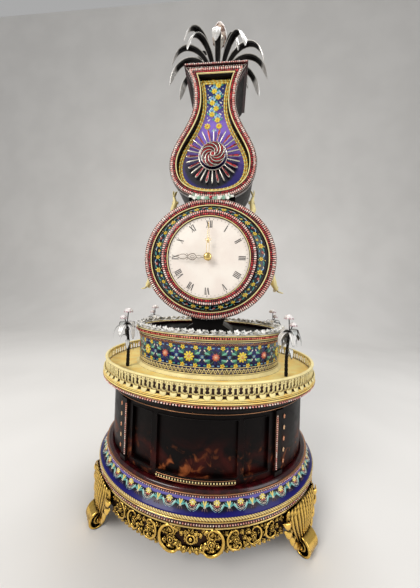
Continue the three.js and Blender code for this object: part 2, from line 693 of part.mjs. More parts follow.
function makeTub() {
  const top = tubZ + tub.height;
  const inner = tubHalf - tub.wall;
  return ovalTurn(
    [
      [0, top - tub.lid],
      [inner, top - tub.lid],
      [inner, tubZ],
      [tubHalf, tubZ],
      [tubHalf + tub.bellyFlare, tubZ + tub.height / 2],
      [tubHalf + tub.flare, top],
      [0, top],
    ],
    plan.tubDepthShare,
  );
}

function makeTubRim() {
  const outer = tubRimHalf;
  const inner = outer - tubRim.width;
  const beadZ = tubRimTop - tubRim.bead;
  return ovalTurn(
    [
      [inner, tubRimZ],
      [tubHalf + tub.flare, tubRimZ],
      [outer, beadZ],
      [outer - tubRim.bead, tubRimTop],
      [inner, tubRimTop],
      [inner, tubRimZ],
    ],
    plan.tubDepthShare,
  );
}

const makePond = () =>
  ovalDisc(tubRimHalf - tubRim.width - seat, tubRimZ, pondTop, plan.tubDepthShare);

// The wreath of leaves on the tub's rim: a low ridge with a wavy crest.
function makeWreath() {
  const bottom = tubRimTop + seat;
  const outer = tubRimHalf - tubRim.bead;
  const inner = outer - wreath.width;
  const loop = (radius, height) =>
    sweepOf(2 * ovalSides).map((angle, i) => {
      const wave = i % 2 === 0 ? 1 : wreath.troughShare;
      return ovalPoint(radius, angle, bottom + height * wave, plan.tubDepthShare);
    });
  return skin([loop(inner, 0), loop(outer, 0), loop((outer + inner) / 2, wreath.height)], true);
}

// Trees and leaves

// A long pointed leaf of lens-shaped section along an arching midrib.
function leafBlade(root, out, { reach, peak, fall, width }, thickness, steps) {
  const across = new THREE.Vector3(-out.y, out.x, 0);
  const at = (along, height) => root.clone().addScaledVector(out, along).add(upwards(height));
  const midrib = new THREE.CubicBezierCurve3(
    root,
    at(reach * leafForm.springShare, peak * leafForm.springRise),
    at(reach * leafForm.archShare, peak * leafForm.archRise),
    at(reach, peak - fall),
  );
  const loops = Array.from({ length: steps + 1 }, (_, j) => {
    const share = j / steps;
    const fullness = leafForm.rootShare + (1 - leafForm.rootShare) * Math.sin(Math.PI * share);
    const taper = share === 1 ? leafForm.rootShare : 1;
    const half = (width / 2) * fullness * taper;
    const centre = midrib.getPointAt(share);
    const up = new THREE.Vector3().crossVectors(midrib.getTangentAt(share), across).normalize();
    const edge = (sideways, upward) =>
      centre.clone().addScaledVector(across, sideways).addScaledVector(up, upward);
    const rib = (thickness / 2) * taper;
    return [edge(half, 0), edge(0, -rib), edge(-half, 0), edge(0, rib)];
  });
  return skin(loops);
}

// A small palm: a leaning trunk, drooping fronds, and an umbrella flower on a stalk.
function makeTree(sideX, sideY) {
  const clear = tubRimHalf + tree.frondReach + tree.clearance;
  const place = ovalPoint(clear, tree.angle, standing, plan.tubDepthShare);
  const ground = new THREE.Vector3(sideX * place.x, sideY * place.y, standing);
  const away = heading(Math.atan2(ground.y, ground.x));
  const crown = ground.clone().addScaledVector(away, tree.lean).add(upwards(tree.trunkHeight));
  const knee = ground.clone().lerp(crown, 0.5).addScaledVector(away, -tree.lean / 2);
  const radius = tree.trunkRadius;
  const trunk = tube([ground, knee, crown], [radius * 1.2, radius, radius, radius * 0.8], 6);
  const { frondReach: reach, frondRise: peak, frondFall: fall, frondWidth: width } = tree;
  const fronds = sweepOf(tree.frondCount).map((turn, i) => {
    const root = crown.clone().add(upwards(-radius - (i % 2) * tree.crownStep));
    const out = heading(turn + Math.atan2(ground.y, ground.x));
    return leafBlade(root, out, { reach, peak, fall, width }, tree.frondThickness, 2);
  });
  const top = ground.clone().addScaledVector(away, tree.lean / 2).add(upwards(tree.flowerUp));
  const stalk = tube([crown.clone().add(upwards(-radius)), top], [tree.stalkRadius, tree.stalkRadius], 4);
  const flower = new THREE.ConeGeometry(tree.flowerRadius, tree.flowerHeight, 6)
    .rotateX(Math.PI / 2)
    .translate(top.x, top.y, top.z);
  return join(trunk, ...fronds, stalk, flower);
}

// Lower lobe: drum, dial and doors

// A ring whose face has two rounded rows for the stones, with a channel between them.
function stoneRows(inner, outer, front, back) {
  const crown = front + border.crest;
  const [nearShare, middleShare, farShare] = border.rowShares;
  const at = (share) => inner + (outer - inner) * share;
  return drumTurn([
    [inner, back],
    [inner, crown],
    [at(nearShare), front],
    [at(middleShare), crown],
    [at(farShare), front],
    [outer, crown],
    [outer, back],
    [inner, back],
  ]);
}

const makeDrumBorder = () => stoneRows(drum.radius - border.width, drum.radius, drum.front, borderBack);
const makeBezel = () => stoneRows(bezelInner, bezelOuter, bezel.front, bezel.back);

const drumHinge = { x: caseOuter + drumDoor.knuckleOutset, y: drum.back + seat + drumDoor.thickness / 2 };

function makeDrumCase() {
  const shell = drumTurn([
    [caseInner, caseFront],
    [caseInner, drum.back],
    [caseOuter, drum.back],
    [caseOuter, caseFront],
    [caseInner, caseFront],
  ]);
  const { knuckleRadius, knuckleHalf, earLength, tabLength } = drumDoor;
  const { x, y } = drumHinge;
  const ears = [drumZ - knuckleHalf - seat - earLength, drumZ + knuckleHalf + seat].map((z) => {
    const top = z + earLength;
    const [inner, outer] = [caseOuter - drumCase.wall / 2, x + knuckleRadius];
    const tab = box(inner, outer, drum.back - tabLength, drum.back - seat, z, top);
    const neck = box(x, outer, drum.back - tabLength, y, z, top);
    return join(rodZ(knuckleRadius, z, top, x, y), tab, neck);
  });
  return join(shell, ...ears);
}

function makeDrumDoor() {
  const { thickness, bevel, knuckleRadius, knuckleHalf, tabLength } = drumDoor;
  const { knobRadius, knobReach, knobInset } = drumDoor;
  const front = drum.back + seat;
  const back = front + thickness;
  const leaf = drumTurn([[0, front], [caseOuter, front], [caseOuter - bevel, back], [0, back]]);
  const knuckle = rodZ(knuckleRadius, drumZ - knuckleHalf, drumZ + knuckleHalf, drumHinge.x, drumHinge.y);
  const strap = box(
    caseOuter - tabLength,
    drumHinge.x,
    front,
    drumHinge.y,
    drumZ - knuckleHalf,
    drumZ + knuckleHalf,
  );
  const knobX = knobInset - caseOuter;
  const stem = rodY(knobRadius / 2, drumHinge.y, back + knobReach, knobX, drumZ);
  return join(leaf, knuckle, strap, stem, knobAt(knobRadius, knobX, back + knobReach, drumZ));
}

// The enamelled band rises like a shallow dome from the border to the dial.
function makeBand() {
  const middle = (bandInner + bandOuter) / 2;
  const crown = (band.outerFront + band.innerFront) / 2 - band.bulge;
  return drumTurn([
    [bandOuter, band.outerFront + band.thickness],
    [bandOuter, band.outerFront],
    [middle, crown],
    [bandInner, band.innerFront],
    [bandInner, band.innerFront + band.thickness],
    [middle, crown + band.thickness],
    [bandOuter, band.outerFront + band.thickness],
  ]);
}

function makeDial() {
  const back = dial.front + dial.thickness;
  return drumTurn([
    [dial.holeRadius, back],
    [dial.holeRadius, dial.front],
    [dialRadius, dial.front + dial.edge],
    [dialRadius, back],
    [dial.holeRadius, back],
  ]);
}

// The gilt scroll on each side of the drum, ending in a flared leaf.
function makeDrumScroll(side) {
  const { y, radii, path, padRadius, padDown, padReach } = drumScroll;
  const points = path.map(([out, up]) => new THREE.Vector3(side * (caseOuter + out), y, drumZ + up));
  const stem = tube(points, radii, 6);
  const ends = [side * (caseOuter - drumCase.wall), side * (caseOuter + padReach)].sort((a, b) => a - b);
  const pad = rodX(padRadius, ...ends, y, drumZ - padDown);
  return cut(join(stem, pad), drumDisc(caseOuter + seat, caseFront - overrun, drum.back + overrun));
}

// Movement and hands

// A wheel with pointed teeth as an outline of [x, z] points; the first tooth stands at the phase angle.
function toothed(count, pitchRadius, phase) {
  const addendum = (2 * pitchRadius) / count;
  const tip = pitchRadius + addendum * tooth.tipShare;
  const base = pitchRadius - addendum * tooth.rootShare;
  const { flankShare, crownShare } = tooth;
  const corners = [[-flankShare, base], [-crownShare, tip], [crownShare, tip], [flankShare, base]];
  return sweepOf(count).flatMap((angle) =>
    corners.map(([share, radius]) => {
      const at = phase + angle + (share * fullTurn) / count;
      return [radius * Math.cos(at), radius * Math.sin(at)];
    }),
  );
}

// Pitch radii of two wheels that mesh at a distance.
function pitchRadii(driver, driven, distance) {
  const total = teeth[driver] + teeth[driven];
  return [(distance * teeth[driver]) / total, (distance * teeth[driven]) / total];
}

const [cannonRadius, motionWheelRadius] = pitchRadii("cannonCount", "motionWheelCount", motionWork.distance);
const [motionPinionRadius, hourWheelRadius] =
  pitchRadii("motionPinionCount", "hourWheelCount", motionWork.distance);
const [centrePinionRadius, greatWheelRadius] =
  pitchRadii("centrePinionCount", "greatWheelCount", barrel.distance);
const studZ = drumZ - motionWork.distance;
const barrelX = barrel.distance * Math.cos(barrel.angle);
const barrelZ = drumZ + barrel.distance * Math.sin(barrel.angle);
const below = -Math.PI / 2;
const above = Math.PI / 2;
const gapAt = (angle, count) => angle + Math.PI / count;

function makeCentreArbor() {
  const shaft = rodY(centreArbor.radius, centreArbor.front, backPlateBack, 0, drumZ);
  const { cannonFront, wheelThickness } = motionWork;
  const leaves = moved(toothed(teeth.cannonCount, cannonRadius, below), 0, drumZ);
  const cannon = plate(leaves, cannonFront, cannonFront + wheelThickness);
  const pinion = plate(
    moved(toothed(teeth.centrePinionCount, centrePinionRadius, barrel.angle), 0, drumZ),
    barrel.wheelFront - barrel.pinionOverlap,
    barrel.wheelFront + barrel.wheelThickness + barrel.pinionOverlap,
  );
  return join(shaft, cannon, pinion);
}

function makeMotionWheel() {
  const { studRadius, wheelThickness, cannonFront, hourFront } = motionWork;
  const hole = circle(studRadius + bore, 0, studZ);
  const wheel = toothed(teeth.motionWheelCount, motionWheelRadius, gapAt(above, teeth.motionWheelCount));
  const pinion = toothed(teeth.motionPinionCount, motionPinionRadius, above);
  return join(
    plate(moved(wheel, 0, studZ), cannonFront, cannonFront + wheelThickness, [hole]),
    plate(moved(pinion, 0, studZ), hourFront - bore, cannonFront, [hole]),
  );
}

function makeHourWheel() {
  const { wheelThickness, hourFront } = motionWork;
  const hole = circle(centreArbor.radius + bore, 0, drumZ);
  const wheel = toothed(teeth.hourWheelCount, hourWheelRadius, gapAt(below, teeth.hourWheelCount));
  return join(
    plate(moved(wheel, 0, drumZ), hourFront, hourFront + wheelThickness, [hole]),
    plate(circle(hourPipe.radius, 0, drumZ), hourPipe.front, hourFront, [hole]),
  );
}

// One hand, pointing up: a waisted blade from shares of its length, and a round boss on its arbor.
function makeHand({ lengthShare, front, bossRadius, bladeShares }, arborRadius) {
  const length = dialRadius * lengthShare;
  const edge = bladeShares.map(([across, along]) => [across * length, along * length]);
  const blade = mirrored([...edge, [0, length]]);
  const outline = blade.filter(([x], i) => x !== 0 || i === bladeShares.length);
  const back = front + handThickness;
  return cut(
    join(
      plate(moved(outline, 0, drumZ), front, back),
      rodY(bossRadius, front, back, 0, drumZ, 2 * boltSides),
    ),
    rodY(arborRadius + seat, front - overrun, back + overrun, 0, drumZ),
  );
}

const makeMinuteHand = () => makeHand(minuteHand, centreArbor.radius);

// The hour hand shows nine, so it is turned a quarter to the left.
const makeHourHand = () =>
  makeHand(hourHand, hourPipe.radius).translate(0, 0, -drumZ).rotateY(-Math.PI / 2).translate(0, 0, drumZ);

function makeFrontPlate() {
  const { front } = frontPlate;
  const disc = drumDisc(caseInner - seat, front, frontPlateBack);
  const holes = [
    rodY(centreArbor.radius + bore, front - overrun, frontPlateBack + overrun, 0, drumZ),
    rodY(barrel.arborRadius + bore, front - overrun, frontPlateBack + overrun, barrelX, barrelZ),
  ];
  const stud = rodY(motionWork.studRadius, motionWork.studFront, frontPlateBack, 0, studZ);
  return join(cut(disc, ...holes), stud);
}

function makeBackPlate() {
  const { halfWidth, halfHeight, front, thickness, pillarRadius, pillarInset } = backPlate;
  const outline = [[-1, -1], [1, -1], [1, 1], [-1, 1]].map(([x, z]) => [x * halfWidth, z * halfHeight]);
  const holes = [
    circle(centreArbor.radius + bore, 0, drumZ),
    circle(barrel.arborRadius + bore, barrelX, barrelZ),
  ];
  const pillars = outline.map(([x, z]) =>
    rodY(
      pillarRadius,
      frontPlateBack + seat,
      front + thickness / 2,
      x - Math.sign(x) * pillarInset,
      drumZ + z - Math.sign(z) * pillarInset,
    ),
  );
  const { studRadius, studBack, pivotUp } = pendulum;
  const stud = rodY(studRadius, front + thickness / 2, studBack, 0, drumZ + pivotUp);
  return join(plate(moved(outline, 0, drumZ), front, backPlateBack, holes), ...pillars, stud);
}

// The spring barrel with its great wheel, its arbor and the winding square.
function makeBarrel() {
  const { wheelFront, wheelThickness, radius, drumBack, arborRadius, angle } = barrel;
  const { squareHalf, squareBack } = barrel;
  const count = teeth.greatWheelCount;
  const wheel = toothed(count, greatWheelRadius, gapAt(angle + Math.PI, count));
  return join(
    plate(moved(wheel, barrelX, barrelZ), wheelFront, wheelFront + wheelThickness),
    rodY(radius, wheelFront + wheelThickness / 2, drumBack, barrelX, barrelZ, 2 * boltSides),
    rodY(arborRadius, frontPlate.front, backPlateBack + seat, barrelX, barrelZ),
    box(-squareHalf, squareHalf, backPlateBack, squareBack, -squareHalf, squareHalf)
      .translate(barrelX, 0, barrelZ),
  );
}

function makePendulum() {
  const { eyeRadius, rodFront, rodThickness, rodWidth, length } = pendulum;
  const { bobRadius, bobThickness, studRadius } = pendulum;
  const pivotZ = drumZ + pendulum.pivotUp;
  const back = rodFront + rodThickness;
  const bobZ = pivotZ - length;
  const edge = bobThickness / 2;
  const lens = [[0, -edge], [bobRadius, 0], [0, edge]].map(([r, y]) => new THREE.Vector2(r, y));
  const bob = new THREE.LatheGeometry(lens, 2 * boltSides).translate(0, (rodFront + back) / 2, bobZ);
  return cut(
    join(
      rodY(eyeRadius, rodFront, back, 0, pivotZ),
      box(-rodWidth / 2, rodWidth / 2, rodFront, back, bobZ, pivotZ),
      outward(bob),
    ),
    rodY(studRadius + bore, rodFront - overrun, back + overrun, 0, pivotZ),
  );
}

// Upper lobe: bottle-shaped case, border, enamel panel and whirligig

const lobeZ = drumZ + drumHeight(drum.radius) + seat;
const lobeTop = lobeZ + lobe.height;
const whirligigZ = lobeZ + whirligig.up;
const panelFront = lobeBorder.back - panel.thickness;
const lobeCaseFront = lobeBorder.back + seat;
const sprayZ = lobeTop + seat + mouth.thickness + seat;

// The right half of the bottle outline from the bottom up, set in by an amount along its normal.
function lobeHalf(inset) {
  const { halfWidth, wideUp, neckHalf, neckUp, mouthHalf, height } = lobe;
  const [bellyOut, bellyUp] = lobe.bellyShares;
  const [shoulderLow, shoulderHigh] = lobe.shoulderShares;
  const [throatLow, throatOut, throatHigh] = lobe.throatShares;
  const at = (x, up) => new THREE.Vector2(x, lobeZ + up);
  const neckRise = neckUp - wideUp;
  const throatRise = height - neckUp;
  const curves = [
    [at(0, 0), at(halfWidth * bellyOut, 0), at(halfWidth, wideUp * bellyUp), at(halfWidth, wideUp)],
    [
      at(halfWidth, wideUp),
      at(halfWidth, wideUp + neckRise * shoulderLow),
      at(neckHalf, wideUp + neckRise * shoulderHigh),
      at(neckHalf, neckUp),
    ],
    [
      at(neckHalf, neckUp),
      at(neckHalf, neckUp + throatRise * throatLow),
      at(neckHalf + (mouthHalf - neckHalf) * throatOut, neckUp + throatRise * throatHigh),
      at(mouthHalf, height),
    ],
  ].map((points) => new THREE.CubicBezierCurve(...points));
  const points = curves.flatMap((curve, c) =>
    Array.from({ length: lobe.steps[c] + 1 }, (_, i) => i / lobe.steps[c])
      .slice(c === 0 ? 0 : 1)
      .map((share) => {
        const tangent = curve.getTangent(share);
        const point = curve.getPoint(share);
        return [Math.max(0, point.x - tangent.y * inset), point.y + tangent.x * inset];
      }),
  );
  const top = lobeTop - inset;
  return [...points.filter(([, z]) => z < top - seat), [widthAt(points, top), top]];
}

// The width where a rising chain of points reaches a height, or at its end when it stays lower.
function widthAt(points, height) {
  const next = points.findIndex(([, z]) => z >= height);
  if (next < 1) return points.at(-1)[0];
  const [[x0, z0], [x1, z1]] = [points[next - 1], points[next]];
  return x0 + ((x1 - x0) * (height - z0)) / (z1 - z0);
}

const lobeOutline = (inset) => mirrored(lobeHalf(inset)).slice(0, -1);

// The outline as evenly spaced points with its corners kept, so that insets join point by point.
function lobePoints(inset) {
  const half = lobeHalf(inset).map(([x, z]) => new THREE.Vector3(x, 0, z));
  const path = new THREE.CurvePath();
  half.slice(1).forEach((point, i) => path.add(new THREE.LineCurve3(half[i], point)));
  const steps = lobe.steps.reduce((a, b) => a + b);
  const right = path.getSpacedPoints(steps).map((p) => [p.x, p.z]);
  return mirrored(right).slice(0, -1);
}

// The border is swept round the outline: two rounded rows for the stones, with a channel between them.
function makeLobeBorder() {
  const { front, back, width } = lobeBorder;
  const crown = front + border.crest;
  const [nearShare, middleShare, farShare] = border.rowShares;
  const rows = [[0, crown], [nearShare, front], [middleShare, crown], [farShare, front], [1, crown]];
  const section = [[0, back], ...rows, [1, back]];
  return skin(
    section.map(([across, y]) => lobePoints(width * across).map(([x, z]) => new THREE.Vector3(x, y, z))),
    true,
  );
}

// The hollow case behind the border, with a bearing for the whirligig on its back wall.
function makeLobeCase() {
  const { inset, back, wall: thickness } = lobeCase;
  const { pipeRadius, bossRadius, bearingFront } = whirligig;
  const block = plate(lobeOutline(inset), lobeCaseFront, back);
  const hollow = plate(lobeOutline(inset + thickness), lobeCaseFront - overrun, back - thickness);
  const bearing = rodY(bossRadius, bearingFront, back - thickness / 2, 0, whirligigZ);
  const hole = rodY(pipeRadius + bore, bearingFront - overrun, whirligig.arborBack + overrun, 0, whirligigZ);
  return cut(join(cut(block, hollow), bearing), hole);
}

function makePanel() {
  const hole = circle(whirligig.pipeRadius + bore, 0, whirligigZ);
  return plate(lobeOutline(lobeBorder.width + panel.clearance), panelFront, lobeBorder.back, [hole]);
}

// The rayed star: tapering rays on a ring, turning on a pipe behind the panel.
function makeRayStar() {
  const { rayCount, hubRadius, rayRadius, rayFront, rayThickness, rootShare, tipShare } = whirligig;
  const [root, tip] = [[rootShare, hubRadius], [tipShare, rayRadius]];
  const corners = [[-rootShare, hubRadius], [-tipShare, rayRadius], tip, root];
  const outline = sweepOf(rayCount).flatMap((angle) =>
    corners.map(([share, radius]) => {
      const at = angle + (share * fullTurn) / rayCount;
      return [radius * Math.cos(at), radius * Math.sin(at)];
    }),
  );
  const hole = circle(whirligig.arborRadius + bore, 0, whirligigZ);
  const star = plate(moved(outline, 0, whirligigZ), rayFront, rayFront + rayThickness, [hole]);
  const { pipeRadius, pipeBack } = whirligig;
  const pipe = plate(circle(pipeRadius, 0, whirligigZ), rayFront + rayThickness, pipeBack, [hole]);
  return join(star, pipe);
}

// The pinwheel: curved arms in front of the star, turning the other way on the inner arbor.
function makePinwheel() {
  const { radius, front, thickness, armCount, armTurns, armShares } = pinwheel;
  const { bossRadius, bossFront, bossBack } = pinwheel;
  const outline = sweepOf(armCount).flatMap((angle) =>
    armTurns.map((turn, i) => {
      const reach = radius * armShares[i];
      return [reach * Math.cos(angle + turn), reach * Math.sin(angle + turn)];
    }),
  );
  return join(
    plate(moved(outline, 0, whirligigZ), front, front + thickness),
    rodY(bossRadius, bossFront, bossBack, 0, whirligigZ),
    rodY(whirligig.arborRadius, front, whirligig.arborBack, 0, whirligigZ),
  );
}

function makeMouth() {
  const half = lobe.mouthHalf + mouth.outset;
  const bottom = lobeTop + seat;
  const [front, back] = [lobeBorder.front - mouth.overhang, lobeCase.back + mouth.overhang];
  return box(-half, half, front, back, bottom, bottom + mouth.thickness);
}

// What the drum and the bottle take out of the pieces that are fitted between them.
const drumFit = () => drumDisc(caseOuter + seat, caseFront - overrun, drum.back + overrun, 2 * ovalSides);
const bottleFit = () =>
  plate(lobeOutline(lobeCase.inset - seat), caseFront - overrun, lobeCase.back + overrun);

// The saddle between the two lobes is fitted to the drum below and the bottle above.
function makeSaddle() {
  const { halfWidth, front, back, rise } = saddle;
  const block = box(-halfWidth, halfWidth, front, back, drumZ, lobeZ + rise);
  return cut(block, bottleFit(), drumFit());
}

// A gilt scroll that springs from the shoulder of the drum to the side of the bottle.
function makeShoulderScroll(side) {
  const { y, radii, path, padRadius, padDown, padInset } = shoulderScroll;
  const points = path.map(([x, up]) => new THREE.Vector3(side * x, y, lobeZ + up));
  const [topX, topUp] = path.at(-1);
  const ends = [side * (topX - padInset), side * topX].sort((a, b) => a - b);
  const pad = rodX(padRadius, ...ends, y, lobeZ + topUp - padDown);
  return cut(join(tube(points, radii, 6), pad), bottleFit(), drumFit());
}

// The socle that carries the gourd in the middle of the pond.
function makeSocle() {
  const bottom = pondTop + seat;
  const reach = drumZ - drumHeight(caseOuter) - bottom;
  const right = socle.halfWidths.map((half, i) => [half, bottom + reach * socle.riseShares[i]]);
  return cut(plate(mirrored(right), socle.front, socle.back), drumFit());
}

// Leaves and fruit

function makeSpray() {
  const trunk = new THREE.CylinderGeometry(collar.topRadius, collar.radius, collar.height, ovalSides / 2)
    .rotateX(Math.PI / 2)
    .translate(0, 0, sprayZ + collar.height / 2);
  const tier = (leaves, steps) =>
    sweepOf(leaves.count).map((turn) => {
      const angle = turn + (leaves.turnShare * fullTurn) / leaves.count;
      const start = upwards(sprayZ + collar.height / 2);
      const spread = new THREE.Vector3(Math.cos(angle), leafForm.depthShare * Math.sin(angle), 0);
      const reach = leaves.reach * spread.length();
      const out = spread.clone().normalize();
      const root = out.clone().multiplyScalar(collar.topRadius / 2).add(start);
      return leafBlade(root, out, { ...leaves, reach }, leafThickness, steps);
    });
  return join(trunk, ...tier(lowerLeaves, 5), ...tier(upperLeaves, 5));
}

// The fruit in the middle of the leaves, on its stem.
function makeFruit() {
  const bottom = sprayZ + collar.height + seat;
  const start = sprayZ + fruit.up;
  const { radius, height, stemRadius, riseShares, widthShares } = fruit;
  const body = riseShares.map((share, i) => [radius * widthShares[i], start + height * share]);
  const profile = [[0, bottom], [stemRadius, bottom], [stemRadius, start], ...body, [0, start + height]];
  return ovalTurn(profile, 1, boltSides);
}

// Assembly

const clock = new THREE.Group();
const add = (name, geometry, material) => {
  const piece = new THREE.Mesh(geometry, material);
  piece.name = name;
  clock.add(piece);
};

const corners = [
  ["front_right", 1, -1],
  ["front_left", -1, -1],
  ["rear_right", 1, 1],
  ["rear_left", -1, 1],
];
const cornerAngle = (angle, sideX, sideY) => Math.atan2(sideY * Math.sin(angle), sideX * Math.cos(angle));

add("base_board", makeBoard(), darkBronze);
add("base_apron", makeApron(), gilt);
for (const [corner, x, y] of corners) {
  add(`foot_${corner}`, makeFoot(cornerAngle(foot.angle, x, y)), gilt);
}
add("rope_moulding", makeRope(), paleGilt);
add("enamel_cavetto", makeCavetto(), blueEnamel);
add("plinth_foot", makePlinthFoot(), redPaste);
add("plinth_wall", makeWall(), lacquer);
add("plinth_rear_door", makePlinthDoor(), lacquer);
add("bay_lining", makeLining(), lacquer);
for (const [corner, x, y] of corners) {
  add(`pilaster_${corner}`, makePilaster(cornerAngle(pilaster.angle, x, y)), lacquer);
}
add("bay_sill", makeSill(), brass);
add("plinth_cornice", makeCornice(), lacquer);
add("music_frame", makeMusicFrame(), brass);
add("music_cylinder", makeMusicCylinder(), brass);

add("platform_deck", makeDeck(), paleGilt);
add("gallery", makeGallery(), paleGilt);
add("gallery_rail", makeGalleryRail(), paleGilt);
add("tub", makeTub(), blueEnamel);
add("tub_rim", makeTubRim(), redPaste);
add("pond_mirror", makePond(), mirror);
add("tub_wreath", makeWreath(), silver);
for (const [corner, x, y] of corners) add(`tree_${corner}`, makeTree(x, y), silver);

add("gourd_socle", makeSocle(), darkBronze);
add("drum_case", makeDrumCase(), blueEnamel);
add("drum_border", makeDrumBorder(), redPaste);
add("enamel_band", makeBand(), blueEnamel);
add("dial_bezel", makeBezel(), redPaste);
add("dial", makeDial(), whiteEnamel);
add("drum_rear_door", makeDrumDoor(), gilt);
add("drum_scroll_left", makeDrumScroll(-1), gilt);
add("drum_scroll_right", makeDrumScroll(1), gilt);
add("movement_front_plate", makeFrontPlate(), brass);
add("movement_back_plate", makeBackPlate(), brass);
add("spring_barrel", makeBarrel(), brass);
add("centre_arbor", makeCentreArbor(), brass);
add("motion_wheel", makeMotionWheel(), brass);
add("hour_wheel", makeHourWheel(), brass);
add("hour_hand", makeHourHand(), gilt);
add("minute_hand", makeMinuteHand(), gilt);
add("pendulum", makePendulum(), brass);

add("saddle", makeSaddle(), darkBronze);
add("shoulder_scroll_left", makeShoulderScroll(-1), gilt);
add("shoulder_scroll_right", makeShoulderScroll(1), gilt);
add("lobe_case", makeLobeCase(), blueEnamel);
add("lobe_border", makeLobeBorder(), redPaste);
add("lobe_panel", makePanel(), blueEnamel);
add("ray_star", makeRayStar(), redPaste);
add("pinwheel", makePinwheel(), redPaste);
add("mouth_plate", makeMouth(), gilt);
add("leaf_spray", makeSpray(), silver);
add("fruit_finial", makeFruit(), gilt);

export default clock;
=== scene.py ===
import json

import bmesh
import bpy
import numpy as np
from mathutils import Matrix, Vector

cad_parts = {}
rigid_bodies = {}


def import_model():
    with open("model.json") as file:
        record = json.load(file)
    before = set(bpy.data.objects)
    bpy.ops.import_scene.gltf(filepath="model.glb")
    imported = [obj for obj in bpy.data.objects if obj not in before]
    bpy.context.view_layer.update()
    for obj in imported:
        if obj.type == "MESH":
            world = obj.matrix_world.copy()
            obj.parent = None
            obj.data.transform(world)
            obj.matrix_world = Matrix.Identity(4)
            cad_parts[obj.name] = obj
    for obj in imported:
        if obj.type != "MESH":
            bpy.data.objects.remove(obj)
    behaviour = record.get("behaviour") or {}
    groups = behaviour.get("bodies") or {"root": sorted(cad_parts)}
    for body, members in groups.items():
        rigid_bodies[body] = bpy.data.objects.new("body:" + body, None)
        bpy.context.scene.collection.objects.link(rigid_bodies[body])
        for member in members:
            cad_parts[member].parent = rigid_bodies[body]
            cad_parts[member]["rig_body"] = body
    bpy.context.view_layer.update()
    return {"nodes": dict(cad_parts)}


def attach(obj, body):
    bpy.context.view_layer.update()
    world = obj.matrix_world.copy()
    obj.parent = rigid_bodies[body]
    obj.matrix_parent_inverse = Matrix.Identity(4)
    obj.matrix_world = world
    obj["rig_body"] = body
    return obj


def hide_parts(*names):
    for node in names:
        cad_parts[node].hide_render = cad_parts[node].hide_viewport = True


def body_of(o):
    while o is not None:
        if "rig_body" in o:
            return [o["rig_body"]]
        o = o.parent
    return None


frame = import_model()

# Sizes in millimetres, taken from the frame; heights are counted from a level under the floor
MM = 0.001
GROUND = 8.0
TURN = 2 * np.pi
OVAL = 0.827  # depth over width of the base and the platform
TUB_OVAL = 0.775
APRON_TOP = 71.0
RELIEF = 3.4  # how far the apron's casting stands out
FOOT_RADIUS = 172.0
FOOT_ANGLE = 0.654  # round the oval, from its long axis
PILASTER_ANGLE = 0.86
WALL_FACE = 155.2
WALL_FOOT = 106.3
SILL_FACE = 157.0
DECK_TOP = 218.7
GALLERY_HALF = 170.0
GALLERY_FOOT = 219.0
GALLERY_HEIGHT = 12.0
FROND_ROWS = 10
DRUM_Z = 388.7
DRUM_RADIUS = 103.6
BEZEL_OUTER = 72.0
LOBE_Z = 484.0
LOBE_TOP = 694.0
STAR_Z = 555.0
VIEWER = np.array([0.0, -1.0, 0.0])  # the way that the clock faces
SHARP_EDGE = 32  # degrees; steeper edges of a copied shape stay crisp
CORNERS = (("front_right", 1, -1), ("front_left", -1, -1), ("rear_right", 1, 1), ("rear_left", -1, 1))


# Colours

def ink(red, green, blue):
    """A colour written as 0 to 255 on a screen, turned into the linear values that the shader wants."""
    value = np.array([red, green, blue]) / 255
    linear = np.where(value <= 0.04045, value / 12.92, ((value + 0.055) / 1.055) ** 2.4)
    return (*linear, 1.0)


WHITE = (1.0, 1.0, 1.0, 1.0)
YELLOW = ink(255, 226, 62)
PALE_YELLOW = ink(245, 226, 130)
ORANGE = ink(222, 112, 58)
CORAL = ink(214, 92, 74)
TEAL = ink(64, 162, 150)
LEAF_GREEN = ink(48, 120, 96)
SKY = ink(126, 176, 214)
CREAM = ink(244, 238, 222)


# Meshes

def outward(corners, quads, tris):
    """Turns every face over when the signed volume, the sum of a . (b x c) / 6, is negative."""
    halves = np.vstack([quads[:, [0, 1, 2]], quads[:, [0, 2, 3]], tris])
    a, b, c = corners[halves].transpose(1, 0, 2)
    if np.einsum("ij,ij->", a, np.cross(b, c)) < 0:
        quads, tris = quads[:, ::-1], tris[:, ::-1]
    return corners, quads, tris


def grid_quads(rows, columns, wrap_rows, wrap_columns):
    """Quads between the neighbours of a grid; a wrapped side joins its end to its start."""
    counts = rows - (not wrap_rows), columns - (not wrap_columns)
    i, j = np.meshgrid(np.arange(counts[0]), np.arange(counts[1]), indexing="ij")
    down, on = (i + 1) % rows, (j + 1) % columns
    cells = [i * columns + j, i * columns + on, down * columns + on, down * columns + j]
    return np.stack(cells, -1).reshape(-1, 4)


def loft(loops, closed=False):
    """A closed skin over rings of points; its ends get a fan round their middle, or meet each other."""
    loops = np.asarray(loops, float)
    rows, columns = loops.shape[:2]
    corners, tris = loops.reshape(-1, 3), np.zeros((0, 3), int)
    if not closed:
        corners = np.vstack([corners, loops[[0, -1]].mean(axis=1)])
        ring = np.arange(columns)
        after, top = (ring + 1) % columns, (rows - 1) * columns
        first = np.stack([after, ring, np.full(columns, rows * columns)], -1)
        last = np.stack([ring + top, after + top, np.full(columns, rows * columns + 1)], -1)
        tris = np.vstack([first, last])
    return outward(corners, grid_quads(rows, columns, closed, True), tris)


def unit(vectors):
    """The same vectors at length one."""
    return vectors / np.maximum(np.linalg.norm(vectors, axis=-1, keepdims=True), 1e-9)


